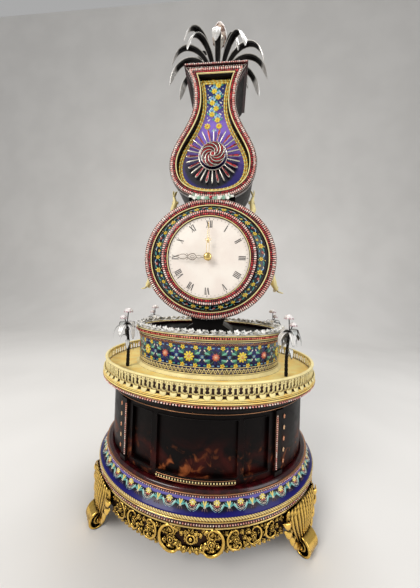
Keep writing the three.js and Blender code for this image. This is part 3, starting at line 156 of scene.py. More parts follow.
def sweep(path, section, side, scale=1.0, closed=False):
    """A section, its first number along the side way and its second across it and the path, at each point."""
    path, section = np.asarray(path, float), np.asarray(section, float)
    ahead = np.roll(path, -1, 0) - np.roll(path, 1, 0) if closed else np.gradient(path, axis=0)
    ahead = unit(ahead)
    side = unit(np.cross(ahead, np.cross(np.broadcast_to(side, path.shape), ahead)))
    up = np.cross(ahead, side)
    scale = np.broadcast_to(np.asarray(scale, float).reshape(-1, 1, 1), (len(path), 1, 1))
    flat = section[None, :, :1] * side[:, None] + section[None, :, 1:] * up[:, None]
    return loft(path[:, None] + scale * flat, closed)


def ring_section(width, height, count=8):
    """An ellipse of that full width and height, as section points."""
    angle = np.arange(count) / count * TURN
    return np.stack([width / 2 * np.cos(angle), height / 2 * np.sin(angle)], -1)


def smooth_path(points, count):
    """A line of evenly spaced points on the Catmull-Rom curve through the given ones."""
    points = np.asarray(points, float)
    padded = np.vstack([2 * points[0] - points[1], points, 2 * points[-1] - points[-2]])
    at = np.linspace(0, len(points) - 1, 16 * len(points))
    k = np.minimum(at.astype(int), len(points) - 2)
    t = (at - k)[:, None]
    a, b, c, d = (padded[k + n] for n in range(4))
    curve = 0.5 * (2 * b + (c - a) * t + (2 * a - 5 * b + 4 * c - d) * t**2 + (3 * b - a - 3 * c + d) * t**3)
    return resample(curve, count)


def resample(line, count):
    """The same line as evenly spaced points."""
    length = np.concatenate([[0], np.cumsum(np.linalg.norm(np.diff(line, axis=0), axis=1))])
    at = np.linspace(0, length[-1], count)
    return np.stack([np.interp(at, length, line[:, k]) for k in range(line.shape[1])], -1)


class Work:
    """Gathers shapes into one piece: corners in millimetres, faces as corner numbers, a tint per corner."""

    def __init__(self):
        self.corners, self.quads, self.tris, self.tints, self.total = [], [], [], [], 0

    def add(self, shape, tint=WHITE):
        """Adds a shape, with one tint or with one for each corner."""
        corners, quads, tris = shape
        self.corners.append(corners)
        self.quads.append(quads + self.total)
        self.tris.append(tris + self.total)
        self.tints.append(np.broadcast_to(np.asarray(tint, float), (len(corners), 4)))
        self.total += len(corners)
        return self

    def strew(self, shape, places, along, out, size, tones=WHITE, seed=3):
        """Adds copies of a shape, one at each place, with the tones by turns."""
        return self.add(scatter(shape, places, along, out, size),
                        tints_for(len(places), len(shape[0]), tones, seed))

    def make(self, name, material, slot, body="clock", replaces=(), sharp=None):
        """Puts the gathered shapes into one object at the origin, which rides on a body."""
        quads, tris = np.vstack(self.quads), np.vstack(self.tris)
        loops = np.concatenate([quads.ravel(), tris.ravel()]).astype(np.int32)
        sizes = np.concatenate([np.full(len(quads), 4), np.full(len(tris), 3)])
        starts = np.concatenate([[0], np.cumsum(sizes)[:-1]]).astype(np.int32)
        corners = ((np.vstack(self.corners) - [0, 0, GROUND]) * MM).astype(np.float32)
        mesh = bpy.data.meshes.new(name)
        mesh.vertices.add(len(corners))
        mesh.vertices.foreach_set("co", corners.ravel())
        mesh.loops.add(len(loops))
        mesh.loops.foreach_set("vertex_index", loops)
        mesh.polygons.add(len(sizes))
        mesh.polygons.foreach_set("loop_start", starts)
        mesh.polygons.foreach_set("use_smooth", np.ones(len(sizes), bool))
        mesh.update(calc_edges=True)
        tint = mesh.color_attributes.new("tint", "FLOAT_COLOR", "POINT")
        tint.data.foreach_set("color", np.vstack(self.tints).astype(np.float32).ravel())
        if sharp:
            mesh.set_sharp_from_angle(angle=np.radians(sharp))
        mesh.materials.append(material)
        piece = placed(name, mesh)
        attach(piece, body)
        if replaces:
            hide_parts(*replaces)


def placed(name, data):
    """A new object in the scene."""
    made = bpy.data.objects.new(name, data)
    bpy.context.scene.collection.objects.link(made)
    return made


def finished_copy(node, material, bevel=0.0):
    """The node's own mesh with its triangles merged and its edges eased, to stand for the node."""
    source = frame["nodes"][node]
    mesh = source.data.copy()
    work = bmesh.new()
    work.from_mesh(mesh)
    bmesh.ops.remove_doubles(work, verts=work.verts, dist=2e-5)
    bmesh.ops.dissolve_limit(work, angle_limit=np.radians(1.5), verts=work.verts, edges=work.edges)
    work.to_mesh(mesh)
    work.free()
    mesh.polygons.foreach_set("use_smooth", np.ones(len(mesh.polygons), bool))
    mesh.set_sharp_from_angle(angle=np.radians(SHARP_EDGE))
    tint = mesh.color_attributes.new("tint", "FLOAT_COLOR", "POINT")
    tint.data.foreach_set("color", np.ones(4 * len(mesh.vertices), np.float32))
    mesh.materials.clear()
    mesh.materials.append(material)
    piece = placed(f"{node}_skin", mesh)
    if bevel:
        ease = piece.modifiers.new("eased edges", "BEVEL")
        ease.width = bevel * MM
        ease.segments = 2
        ease.limit_method = "ANGLE"
        ease.angle_limit = np.radians(SHARP_EDGE)
        ease.harden_normals = True
    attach(piece, body_of(source)[0])
    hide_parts(node)


def one_piece(name, finish, slot, shape, replaces=()):
    """A piece that is one closed shape."""
    Work().add(shape).make(name, finish, slot, replaces=replaces)


# Rows of repeated shapes

def stations(loop, count, turn=0.0):
    """Evenly spaced places on a closed flat line, with the way along it and the way out on its right."""
    line = np.vstack([loop, loop[:1]])
    length = np.concatenate([[0], np.cumsum(np.linalg.norm(np.diff(line, axis=0), axis=1))])
    at = (np.arange(count) + turn) / count * length[-1]
    reach = length[-1] / count / 2

    def point(where):
        """The line's point at that length from its start."""
        where = where % length[-1]
        return np.stack([np.interp(where, length, line[:, k]) for k in range(2)], -1)

    along = unit(point(at + reach) - point(at - reach))
    return point(at), along, np.stack([along[:, 1], -along[:, 0]], -1)


def oval_loop(radius, share=OVAL, steps=720):
    """x = r cos t and y = share r sin t, from the front and on to the right."""
    angle = np.arange(steps) / steps * TURN - TURN / 4
    return np.stack([radius * np.cos(angle), share * radius * np.sin(angle)], -1)


def level(flat, z):
    """Flat pairs as points at one height, or as ways with none."""
    return np.column_stack([flat, np.full(len(flat), float(z))])


def upright(flat, y):
    """Pairs of x and z as points on one upright plane, or as ways in it."""
    return np.column_stack([flat[:, 0], np.full(len(flat), float(y)), flat[:, 1]])


def scatter(shape, places, along, out, size):
    """Copies of one shape, sized along the row's way, across it and out of it, one at each place."""
    corners, quads, tris = shape
    count, per = len(places), len(corners)
    along, out = np.broadcast_to(along, (count, 3)), np.broadcast_to(out, (count, 3))
    axes = np.stack([along, np.cross(out, along), out], 1)
    sized = corners[None] * np.broadcast_to(size, (count, 3))[:, None]
    moved = places[:, None] + np.einsum("nkc,ncd->nkd", sized, axes)
    offset = (np.arange(count) * per)[:, None, None]
    return moved.reshape(-1, 3), (quads + offset).reshape(-1, 4), (tris + offset).reshape(-1, 3)


def tints_for(count, per, colours, seed=3):
    """One colour for each copy, a little lighter or darker by turns, repeated for its corners."""
    colours = np.atleast_2d(colours)
    light = 1 + 0.12 * np.random.default_rng(seed).uniform(-1, 1, (count, 1))
    chosen = colours[np.arange(count) % len(colours)].copy()
    chosen[:, :3] *= light
    return np.repeat(chosen, per, 0)


def stacked(outline, levels):
    """A closed heap of one flat outline: at each level it is drawn in to a share round its middle."""
    middle = outline.mean(0)
    return loft([level(middle + (outline - middle) * share, up) for share, up in levels])


def dome(outline, height, sink=0.2):
    """A low closed dome on a flat outline: foot, edge, shoulder and crown."""
    return stacked(outline, [(1, -sink), (1, 0.3 * height), (0.62, height)])


def disc_outline(radius, count=10):
    """A circle of that radius round the origin, as points."""
    angle = np.arange(count) / count * TURN
    return radius * np.stack([np.cos(angle), np.sin(angle)], -1)


def petal_outline(length, width, count=8, fullness=0.5):
    """A pointed leaf from the origin along u; a low fullness puts its widest part near the tip."""
    angle = np.arange(count) / count * TURN
    along = (0.5 - 0.5 * np.cos(angle)) ** fullness
    return np.stack([length * along, width / 2 * np.sin(angle)], -1)


SQUARISH = np.array([[-1, -0.5], [-0.5, -1], [0.5, -1], [1, -0.5],
                     [1, 0.5], [0.5, 1], [-0.5, 1], [-1, 0.5]])
GEM = stacked(SQUARISH, [(0.9, -0.3), (1, 0.25), (0.78, 0.75), (0.42, 1.0)])
BEAD = stacked(disc_outline(1, 8), [(0.8, -0.6), (1, 0), (0.72, 0.7), (0.25, 0.97)])
DROP = stacked(petal_outline(2, 1.4) - [1, 0], [(1, -0.2), (1, 0.3), (0.6, 0.8), (0.2, 1.0)])


def stone_row(name, finish, loop, plane, where, count, size, shape=GEM, slot="red_paste"):
    """Stones along a loop, as one piece: they face out of a level loop, or the viewer on an upright one."""
    places, along, out = stations(loop, count)
    face = plane(out, 0) if plane is level else VIEWER
    Work().strew(shape, plane(places, where), plane(along, 0), face, size).make(name, finish, slot)


# Turned and bent surfaces

def oval_turn(profile, share=OVAL, steps=360):
    """Each pair of radius and height runs round the oval x = r cos t, y = share r sin t."""
    profile = np.asarray(profile, float)
    ring = oval_loop(1.0, share, steps)
    loops = np.empty((len(profile), steps, 3))
    loops[..., :2] = profile[:, None, :1] * ring
    loops[..., 2] = profile[:, None, 1]
    return loft(loops, True)


def round_turn(profile, count, closed=False):
    """Each pair of radius and height runs round the upright axis."""
    return loft([level(radius * disc_outline(1, count), z) for radius, z in profile], closed)


def flat_ring(inner, outer, low, high):
    """The profile of a square-edged ring."""
    return [(inner, low), (outer, low), (outer, high), (inner, high)]


def eased_ring(outer, low, high, ease):
    """The profile of a ring 3 mm deep with eased outer edges."""
    return [(outer - 3, low), (outer - ease, low), (outer, low + ease), (outer, high - ease),
            (outer - ease, high), (outer - 3, high)]


def drum_height(radius):
    """Half the height of the drum where it is that wide: round at the dial and flatter at the rim."""
    share = np.clip((np.asarray(radius, float) - BEZEL_OUTER) / (DRUM_RADIUS - 12.4 - BEZEL_OUTER), 0, 1)
    return radius - 8.6 * share


def drum_loop(radius, steps=720):
    """x = r sin t and z = h cos t about the drum's middle, run against the clock."""
    angle = -np.arange(steps) / steps * TURN
    return np.stack([radius * np.sin(angle), DRUM_Z + drum_height(radius) * np.cos(angle)], -1)


def drum_turn(profile, steps=288):
    """Each pair of radius and y runs round the drum's own oval."""
    return loft([upright(drum_loop(radius, steps), y) for radius, y in profile], True)


def bezier(points, count=60):
    """A cubic curve: (1-t)^3 a + 3 t (1-t)^2 b + 3 t^2 (1-t) c + t^3 d."""
    a, b, c, d = (np.asarray(p, float) for p in points)
    t = np.linspace(0, 1, count)[:, None]
    return (1 - t) ** 3 * a + 3 * t * (1 - t) ** 2 * b + 3 * t**2 * (1 - t) * c + t**3 * d


LOBE_HALF = np.vstack([
    bezier([(0, 0), (44.5, 0), (69.6, 19.0), (69.6, 56)]),
    bezier([(69.6, 56), (69.6, 92), (33.5, 118), (33.5, 156)])[1:],
    bezier([(33.5, 156), (33.5, 177.6), (38.3, 196), (49.5, 210)])[1:],
]) + [0, LOBE_Z]


def lobe_side(inset):
    """The right side of the bottle from the bottom up, set in along its normal, in even steps."""
    tangent = unit(np.gradient(LOBE_HALF, axis=0))
    line = LOBE_HALF + inset * np.stack([-tangent[:, 1], tangent[:, 0]], -1)
    line[:, 0] = np.maximum(line[:, 0], 0)
    line[0, 0] = 0
    top = min(LOBE_TOP - inset, line[-1, 1])
    width = np.interp(top, line[:, 1], line[:, 0])
    line = np.vstack([line[line[:, 1] < top - 0.01], [width, LOBE_TOP - inset]])
    return resample(line, 110)


def lobe_loop(inset):
    """The whole bottle outline, run against the clock from the bottom."""
    side = lobe_side(inset)
    top = np.linspace(side[-1], side[-1] * [-1, 1], 26)[1:-1]
    return np.vstack([side, top, side[::-1][:-1] * [-1, 1]])


class OvalWrap:
    """Bends a flat pattern round an oval: u runs right from the front, v up a profile, w stands out of it."""

    def __init__(self, share, radius, profile, low=0.0):
        loop = oval_loop(radius, share, 1440)
        loop = np.vstack([loop, loop[:1]])
        self.length = np.concatenate([[0], np.cumsum(np.linalg.norm(np.diff(loop, axis=0), axis=1))])
        self.angle = np.linspace(0, TURN, len(loop)) - TURN / 4
        self.share, self.profile = share, np.asarray(profile, float)
        steps = np.linalg.norm(np.diff(self.profile, axis=0), axis=1)
        self.up = low + np.concatenate([[0], np.cumsum(steps)])

    def girth(self):
        """The length of one turn."""
        return self.length[-1]

    def __call__(self, flat):
        u, v, w = flat.T
        angle = np.interp(u % self.length[-1], self.length, self.angle)
        radius, height = (np.interp(v, self.up, self.profile[:, k]) for k in range(2))
        slope = np.gradient(self.profile, self.up, axis=0)
        rise, run = (np.interp(v, self.up, slope[:, k]) for k in (1, 0))
        lean = np.hypot(rise, run)
        way = unit(np.stack([self.share * np.cos(angle), np.sin(angle)], -1))
        out = (w * rise / lean)[:, None] * way
        ring = np.stack([radius * np.cos(angle), self.share * radius * np.sin(angle)], -1)
        return np.column_stack([ring + out, height - w * run / lean])


class Pattern:
    """Flat painted or cast ornament: low shapes laid on a sheet with u to the right and v up."""

    def __init__(self):
        self.parts = []

    def lay(self, shape, place=(0, 0), turn=0.0, tint=WHITE, raised=0.0):
        """Adds a shape, turned, moved and raised over the sheet."""
        corners, quads, tris = shape
        c, s = np.cos(turn), np.sin(turn)
        flat = corners[:, :2] @ np.array([[c, s], [-s, c]]) + np.asarray(place, float)
        self.parts.append(((np.column_stack([flat, corners[:, 2] + raised]), quads, tris), tint))

    def dot(self, place, radius, count, height, tint=WHITE, raised=0.0):
        """Adds a low round dome."""
        self.lay(dome(disc_outline(radius, count), height), place, tint=tint, raised=raised)

    def leaf(self, place, length, width, turn, tint, raised=0.0):
        """Adds a low pointed leaf."""
        self.lay(dome(petal_outline(length, width), 0.45), place, turn, tint=tint, raised=raised)

    def flower(self, place, radius, petals, petal_tint, eye_tint, turn=0.0, height=0.5, raised=0.0):
        """Adds a ring of pointed petals and a round eye."""
        petal = dome(petal_outline(radius, 2.4 * radius / max(petals, 5) * 1.5, 8, 0.42), height)
        for k in range(petals):
            self.lay(petal, place, turn + k * TURN / petals, tint=petal_tint, raised=raised)
        self.dot(place, 0.3 * radius, 8, 1.7 * height, eye_tint, raised)

    def strand(self, points, count, section, widths, rise=0.0, tint=WHITE):
        """Adds a strip of that section along a smooth line, with its widths from start to end."""
        scale = np.interp(np.linspace(0, 1, count), np.linspace(0, 1, len(widths)), widths)
        path = np.column_stack([smooth_path(points, count), np.broadcast_to(rise, count)])
        self.parts.append((sweep(path, section, (0, 0, 1), scale), tint))

    def stem(self, points, width, tint):
        """Adds a thin stem along a smooth line."""
        self.strand(points, 6 * len(points), ring_section(width, 0.6, 6), [1.0], tint=tint)

    def onto(self, work, wrap):
        """Bends every shape onto a surface and adds it to the work."""
        for (corners, quads, tris), tint in self.parts:
            work.add((wrap(corners), quads, tris), tint)
        return work

    def piece(self, name, finish, wrap, slot, body="clock", replaces=()):
        """Bends the whole pattern onto a surface as one piece."""
        self.onto(Work(), wrap).make(name, finish, slot, body, replaces)


# Shader effects

def group(name, inputs, outputs):
    """A shader node group with its inputs as name, kind and value, and its outputs as name and kind."""
    tree = bpy.data.node_groups.new(name, "ShaderNodeTree")
    for label, kind, value in inputs:
        socket = tree.interface.new_socket(label, in_out="INPUT", socket_type=f"NodeSocket{kind}")
        socket.default_value = value
    for label, kind in outputs:
        tree.interface.new_socket(label, in_out="OUTPUT", socket_type=f"NodeSocket{kind}")
    return tree, tree.nodes.new("NodeGroupInput").outputs, tree.nodes.new("NodeGroupOutput").inputs


def feed(tree, socket, value):
    """Links a source to a socket, or sets the socket when the value is fixed."""
    if isinstance(value, bpy.types.NodeSocket):
        tree.links.new(value, socket)
    else:
        socket.default_value = value


def put(tree, kind, inputs=None, **settings):
    """Adds a node, sets it up, and feeds its inputs by number or name."""
    node = tree.nodes.new(f"ShaderNode{kind}")
    for key, value in settings.items():
        setattr(node, key, value)
    for key, value in (inputs or {}).items():
        feed(tree, node.inputs[key], value)
    return node


def fixed(node, values):
    """Sets a node's inputs, whose names are written with underscores for blanks."""
    for key, value in values.items():
        node.inputs[key.replace("_", " ")].default_value = value


def blend(tree, share, first, second, mode="MIX"):
    """Mixes two colours."""
    inputs = {0: share, 6: first, 7: second}
    return put(tree, "Mix", inputs, data_type="RGBA", blend_type=mode).outputs[2]


def ramp(tree, source, low, high):
    """Spreads the span from low to high over 0 to 1."""
    return put(tree, "MapRange", {0: source, 1: low, 2: high}, interpolation_type="SMOOTHSTEP").outputs[0]


def two_tone(tree, source, low, high, first, second):
    """One colour where the source is low and another where it is high."""
    return blend(tree, ramp(tree, source, low, high), first, second)


def reckon(tree, operation, *values, clamp=False):
    """A sum, product or the like of its values."""
    return put(tree, "Math", dict(enumerate(values)), operation=operation, use_clamp=clamp).outputs[0]


def surface_place(tree):
    """Where on the clock the surface lies."""
    return put(tree, "TexCoord").outputs["Object"]


def height_of(tree, place):
    """How high that place is."""
    return put(tree, "SeparateXYZ", {0: place}).outputs[2]


def noise(tree, place, scale, detail, **more):
    """A cloudy value over the surface."""
    inputs = {"Vector": place, "Scale": scale, "Detail": detail, **more}
    return put(tree, "TexNoise", inputs).outputs["Fac"]


def own_tint(tree):
    """The tint stored in each corner of the piece."""
    return put(tree, "Attribute", attribute_name="tint").outputs["Color"]


def hollow_shade_group():
    """How much painted shade the surface gets: more the deeper it lies in a hollow, by ambient occlusion,
    broken up a little by a cloudy noise.
    """
    inputs = [("Reach", "Float", 0.004), ("Cloud Scale", "Float", 90.0), ("Cloud", "Float", 0.3)]
    tree, given, result = group("hollows", inputs, [("Depth", "Float")])
    open_sky = put(tree, "AmbientOcclusion", {"Distance": given["Reach"]}, samples=6).outputs["AO"]
    hollow = reckon(tree, "SUBTRACT", 1.0, open_sky)
    lean = reckon(tree, "SUBTRACT", noise(tree, surface_place(tree), given["Cloud Scale"], 3.0), 0.5)
    share = reckon(tree, "MULTIPLY", lean, given["Cloud"])
    tree.links.new(reckon(tree, "ADD", hollow, share, clamp=True), result["Depth"])
    return tree


def grain_group():
    """A fine uneven height for hand-worked metal, and a mask of slow smears for its gloss."""
    inputs = [("Grain Scale", "Float", 700.0), ("Smear Scale", "Float", 60.0)]
    tree, given, result = group("hand finish", inputs, [("Height", "Float"), ("Smear", "Float")])
    place = surface_place(tree)
    tree.links.new(noise(tree, place, given["Grain Scale"], 4.0), result["Height"])
    tree.links.new(noise(tree, place, given["Smear Scale"], 2.0), result["Smear"])
    return tree


def speckle_group():
    """Cells of one size: a number from 0 to 1 for each, and how near the surface is to a cell's middle."""
    inputs, outputs = [("Scale", "Float", 400.0)], [("Lot", "Float"), ("Middle", "Float")]
    tree, given, result = group("speckle", inputs, outputs)
    cells = put(tree, "TexVoronoi", {"Vector": surface_place(tree), "Scale": given["Scale"]})
    lot = put(tree, "SeparateColor", {0: cells.outputs["Color"]})
    tree.links.new(lot.outputs[0], result["Lot"])
    tree.links.new(cells.outputs["Distance"], result["Middle"])
    return tree


HOLLOW_SHADE, HAND_FINISH, SPECKLE = hollow_shade_group(), grain_group(), speckle_group()


def material(name, **values):
    """A new material with its tree and its shader, whose fixed values are set."""
    made = bpy.data.materials.new(name)
    made.use_nodes = True
    shader = made.node_tree.nodes["Principled BSDF"]
    fixed(shader, values)
    return made, made.node_tree, shader


def use(tree, made_group, **values):
    """Adds one of the groups with fixed values, and gives its outputs."""
    node = tree.nodes.new("ShaderNodeGroup")
    node.node_tree = made_group
    fixed(node, values)
    return node.outputs


def colour(tree, shader, source):
    """Gives the shader its colour."""
    tree.links.new(source, shader.inputs["Base Color"])


def gloss(tree, shader, source, low, high, smooth, rough):
    """Lets the roughness follow a cloudy value."""
    spread = put(tree, "MapRange", {0: source, 1: low, 2: high, 3: smooth, 4: rough})
    tree.links.new(spread.outputs[0], shader.inputs["Roughness"])


def bump(tree, shader, height, strength, distance):
    """Lets fine relief, its depth given in millimetres, follow a cloudy value."""
    node = put(tree, "Bump", {"Height": height, "Strength": strength, "Distance": distance * MM})
    tree.links.new(node.outputs[0], shader.inputs["Normal"])


def hand_finish(tree, shader, grain, smear, strength, distance):
    """Lays the grain's relief on the shader, and gives the smears."""
    finish = use(tree, HAND_FINISH, Grain_Scale=grain, Smear_Scale=smear)
    bump(tree, shader, finish["Height"], strength, distance)
    return finish["Smear"]


def metal(name, bright, dark, rough=(0.2, 0.4), reach=4.0, depth=(0.2, 0.7), grain=700.0, shine=1.0):
    """Worked metal: its hollows are painted darker than its ridges as shade, and its gloss is uneven."""
    made, tree, shader = material(name, Metallic=shine)
    # Painted shade: the dark colour is laid into the hollows that ambient occlusion finds.
    hollow = ramp(tree, use(tree, HOLLOW_SHADE, Reach=reach * MM)["Depth"], *depth)
    smear = hand_finish(tree, shader, grain, 60.0, 0.5, 0.05)
    worn = two_tone(tree, smear, 0.3, 0.7, bright, tuple(np.multiply(bright, 0.82)))
    colour(tree, shader, blend(tree, hollow, worn, dark))
    gloss(tree, shader, smear, 0.3, 0.7, *rough)
    return made


def deck_gilt():
    """Pale gilt with painted shade: its floor darkens towards the gallery at the front, by r = |(x, y /
    share)| from the middle, and in its hollows.
    """
    made, tree, shader = material("pale gilt floor with painted shade", Roughness=0.4, Metallic=0.06)
    place = surface_place(tree)
    # Painted shadow: the floor turns dark brown in a band just inside the gallery, at the front only.
    round_ = put(tree, "VectorMath", {0: place, 1: (1.0, 1 / OVAL, 0.0)}, operation="MULTIPLY").outputs[0]
    reach = put(tree, "VectorMath", {0: round_}, operation="LENGTH").outputs["Value"]
    near, rim = ramp(tree, reach, 0.136, 0.148), ramp(tree, reach, 0.1700, 0.1706)
    behind = reckon(tree, "SUBTRACT", near, rim, clamp=True)
    front = reckon(tree, "DIVIDE", put(tree, "SeparateXYZ", {0: place}).outputs[1], reach)
    depth = reckon(tree, "MULTIPLY", behind, ramp(tree, front, -0.3, -0.62))
    smear = hand_finish(tree, shader, 700.0, 60.0, 0.5, 0.05)
    pale = two_tone(tree, smear, 0.3, 0.7, ink(255, 234, 150), ink(255, 214, 116))
    # Painted shade in the hollows, found by ambient occlusion.
    hollow = use(tree, HOLLOW_SHADE, Reach=9 * MM)["Depth"]
    hollow_shaded = two_tone(tree, hollow, 0.3, 0.85, pale, ink(120, 68, 28))
    colour(tree, shader, blend(tree, depth, hollow_shaded, ink(58, 28, 12)))
    return made


def tinted(name, rough=0.3, coat=0.8, metallic=0.0):
    """Painted enamel: each shape has its own tint, with a cloudy depth and a clear glaze."""
    made, tree, shader = material(name, Roughness=rough, Coat_Weight=coat, Coat_Roughness=0.08,
                                  Metallic=metallic)
    tint = own_tint(tree)
    smear = hand_finish(tree, shader, 900.0, 260.0, 0.35, 0.04)
    shade = two_tone(tree, smear, 0.25, 0.75, WHITE, (0.82, 0.82, 0.82, 1))
    colour(tree, shader, blend(tree, 1.0, tint, shade, "MULTIPLY"))
    return made


def enamel(name, deep, light, rough=0.22, coat=1.0):
    """Enamel over an engraved ground: two shades in small clouds under a clear glaze."""
    made, tree, shader = material(name, Roughness=rough, Specular_IOR_Level=0.35, Coat_Weight=coat,
                                  Coat_Roughness=0.06)
    smear = hand_finish(tree, shader, 1200.0, 120.0, 0.3, 0.03)
    colour(tree, shader, two_tone(tree, smear, 0.35, 0.75, deep, light))
    return made


def risen(tree, height, smear, share):
    """The height, made uneven by a share of the smears."""
    return reckon(tree, "MULTIPLY_ADD", smear, share, height)


def cavetto_enamel():
    """Enamel that is bright blue at its foot and nearly black in the cove, with a lilac band at its upper
    edge that is a painted highlight.
    """
    made, tree, shader = material("cavetto enamel", Roughness=0.3, Specular_IOR_Level=0.2, Coat_Weight=0.15,
                                  Coat_Roughness=0.05)
    smear = hand_finish(tree, shader, 1200.0, 90.0, 0.3, 0.03)
    rise = risen(tree, height_of(tree, surface_place(tree)), smear, 0.004)
    low = two_tone(tree, rise, 0.0800, 0.0835, ink(14, 8, 100), ink(3, 4, 16))
    # Painted highlight: the lilac band along the upper edge.
    colour(tree, shader, two_tone(tree, rise, 0.0889, 0.0899, low, ink(98, 90, 164)))
    return made


def violet_enamel():
    """Enamel that turns from deep blue to violet and back as it rises, with a painted shadow of the star: a
    dark round a little below and left of it.
    """
    made, tree, shader = material("violet enamel with painted star shadow", Roughness=0.24, Coat_Weight=0.5)
    place = surface_place(tree)
    height = height_of(tree, place)
    smear = hand_finish(tree, shader, 1200.0, 110.0, 0.3, 0.03)
    rise = risen(tree, height, smear, 0.02)
    low = two_tone(tree, rise, 0.520, 0.592, ink(30, 20, 104), ink(136, 106, 206))
    full = two_tone(tree, rise, 0.602, 0.652, low, ink(28, 38, 104))
    # Painted shadow of the star's rays on the panel, lower and a little to the left.
    flat = put(tree, "VectorMath", {0: place, 1: (1.0, 0.0, 1.0)}, operation="MULTIPLY").outputs[0]
    middle = (-0.004, 0.0, (STAR_Z - GROUND - 5) * MM)
    reach = put(tree, "VectorMath", {0: flat, 1: middle}, operation="DISTANCE").outputs["Value"]
    under = reckon(tree, "MULTIPLY", ramp(tree, reach, 0.049, 0.042), ramp(tree, height, 0.565, 0.525))
    colour(tree, shader, blend(tree, under, full, ink(6, 5, 22)))
    return made


def stone(name, deep, light):
    """Foil-backed paste stones: a dark body with a lighter table here and there, under a hard gloss."""
    made, tree, shader = material(name, Metallic=0.2, Roughness=0.24, Coat_Weight=0.5, Coat_Roughness=0.06)
    lots = use(tree, SPECKLE, Scale=330.0)
    shade = two_tone(tree, lots["Lot"], 0.15, 0.95, deep, light)
    colour(tree, shader, blend(tree, 1.0, shade, own_tint(tree), "MULTIPLY"))
    return made


def lacquer(name, deep, brown, red, scale=26.0, coat=0.6):
    """Dark lacquer over red-brown clouds and bright flecks, which both fade upwards, with a polished top; the
    clouds and flecks are partly the lacquer's own mottle and partly a painted warm reflection low down.
    """
    made, tree, shader = material(name, Specular_IOR_Level=0.1, Coat_Weight=coat, Coat_Roughness=0.07)
    place = surface_place(tree)
    clouds = noise(tree, place, scale, 5.0, Distortion=1.2)
    flecks = noise(tree, place, 2.6 * scale, 3.0, Distortion=0.8)
    rise = height_of(tree, place)
    # Partly painted reflection: the warm clouds and bright flecks show only low down and fade upwards.
    cloud = reckon(tree, "MULTIPLY", ramp(tree, clouds, 0.4, 0.7), ramp(tree, rise, 0.160, 0.118))
    base = blend(tree, cloud, deep, brown)
    glow = reckon(tree, "MULTIPLY", ramp(tree, flecks, 0.55, 0.78), ramp(tree, rise, 0.150, 0.112))
    colour(tree, shader, blend(tree, glow, base, red))
    gloss(tree, shader, flecks, 0.2, 0.8, 0.34, 0.54)
    bump(tree, shader, clouds, 0.2, 0.15)
    return made


def wood():
    """Dark wood: noise stretched along the width, so that the grain runs with the board."""
    made, tree, shader = material("dark wood")
    drawn = put(tree, "Mapping", {"Vector": surface_place(tree), "Scale": (0.12, 1.0, 1.0)}).outputs[0]
    grain = noise(tree, drawn, 160.0, 6.0)
    colour(tree, shader, two_tone(tree, grain, 0.35, 0.7, ink(46, 26, 16), ink(92, 56, 34)))
    gloss(tree, shader, grain, 0.2, 0.8, 0.42, 0.62)
    bump(tree, shader, grain, 0.4, 0.2)
    return made


def dial_enamel():
    """Warm white enamel with a faint unevenness and a few tiny specks of age."""
    made, tree, shader = material("dial enamel", Roughness=0.28, Coat_Weight=0.6, Coat_Roughness=0.1)
    smear = hand_finish(tree, shader, 500.0, 30.0, 0.15, 0.03)
    lots = use(tree, SPECKLE, Scale=260.0)
    shade = two_tone(tree, smear, 0.3, 0.7, ink(246, 238, 228), ink(238, 226, 216))
    colour(tree, shader, two_tone(tree, lots["Middle"], 0.12, 0.02, shade, ink(222, 208, 196)))
    return made


def mirror():
    """Glass over silver, painted near black for the shade and the dark reflection on it, with a faint ripple.
    """
    made, tree, shader = material("pond mirror", Roughness=0.4, Specular_IOR_Level=0.02)
    smear = hand_finish(tree, shader, 40.0, 25.0, 0.1, 0.3)
    # Painted shade and dark reflection: the glass is coloured nearly black.
    colour(tree, shader, two_tone(tree, smear, 0.3, 0.7, ink(2, 2, 3), ink(5, 5, 6)))
    return made


def leaf_metal():
    """Silver leaves with dark blades, and painted highlights as bright edges and pale tips, from the tint."""
    made, tree, shader = material("dark silver with painted highlights", Metallic=0.7)
    smear = hand_finish(tree, shader, 600.0, 140.0, 0.5, 0.06)
    shade = two_tone(tree, smear, 0.3, 0.7, WHITE, (0.72, 0.7, 0.68, 1))
    colour(tree, shader, blend(tree, 1.0, own_tint(tree), shade, "MULTIPLY"))
    gloss(tree, shader, smear, 0.3, 0.7, 0.26, 0.44)
    return made


# The second colour given to each metal is painted shade, laid into its hollows.
GILT = metal("gilt bronze", ink(255, 210, 108), ink(26, 10, 4), rough=(0.14, 0.3), reach=6.0,
             depth=(0.05, 0.34))
# Dark gilt: where it lines the apron's ground and the deck's grooves, its near-black stands for painted
# shade.
DARK_GILT = metal("dark gilt", ink(50, 26, 12), ink(14, 7, 4), rough=(0.5, 0.7), reach=6.0,
                  shine=0.7)
PALE_GILT = metal("pale gilt", ink(255, 238, 170), ink(104, 52, 16), rough=(0.32, 0.48), reach=3.5,
                  depth=(0.14, 0.6), shine=0.04)
ROSE_GILT = metal("rose gilt", ink(206, 150, 110), ink(60, 24, 14), rough=(0.26, 0.44), reach=3.0)
BRIGHT_GILT = metal("burnished gilt", ink(250, 216, 136), ink(120, 72, 24), rough=(0.16, 0.32), reach=2.0)
SILVER = metal("chased silver", ink(232, 226, 214), ink(64, 54, 50), rough=(0.18, 0.38), reach=2.5, shine=0.9)
STEEL = metal("hand silver", ink(126, 108, 90), ink(40, 30, 24), rough=(0.2, 0.34), reach=1.0)
BRASS = metal("movement brass", ink(222, 184, 104), ink(110, 78, 34), rough=(0.2, 0.34), reach=3.0,
              grain=1400)
DARK_BRONZE = metal("dark bronze", ink(15, 11, 10), ink(5, 4, 4), rough=(0.42, 0.6), reach=3.0, shine=0.6)
DECK_GILT = deck_gilt()
ENAMEL_PAINT = tinted("painted enamel", coat=0.5)
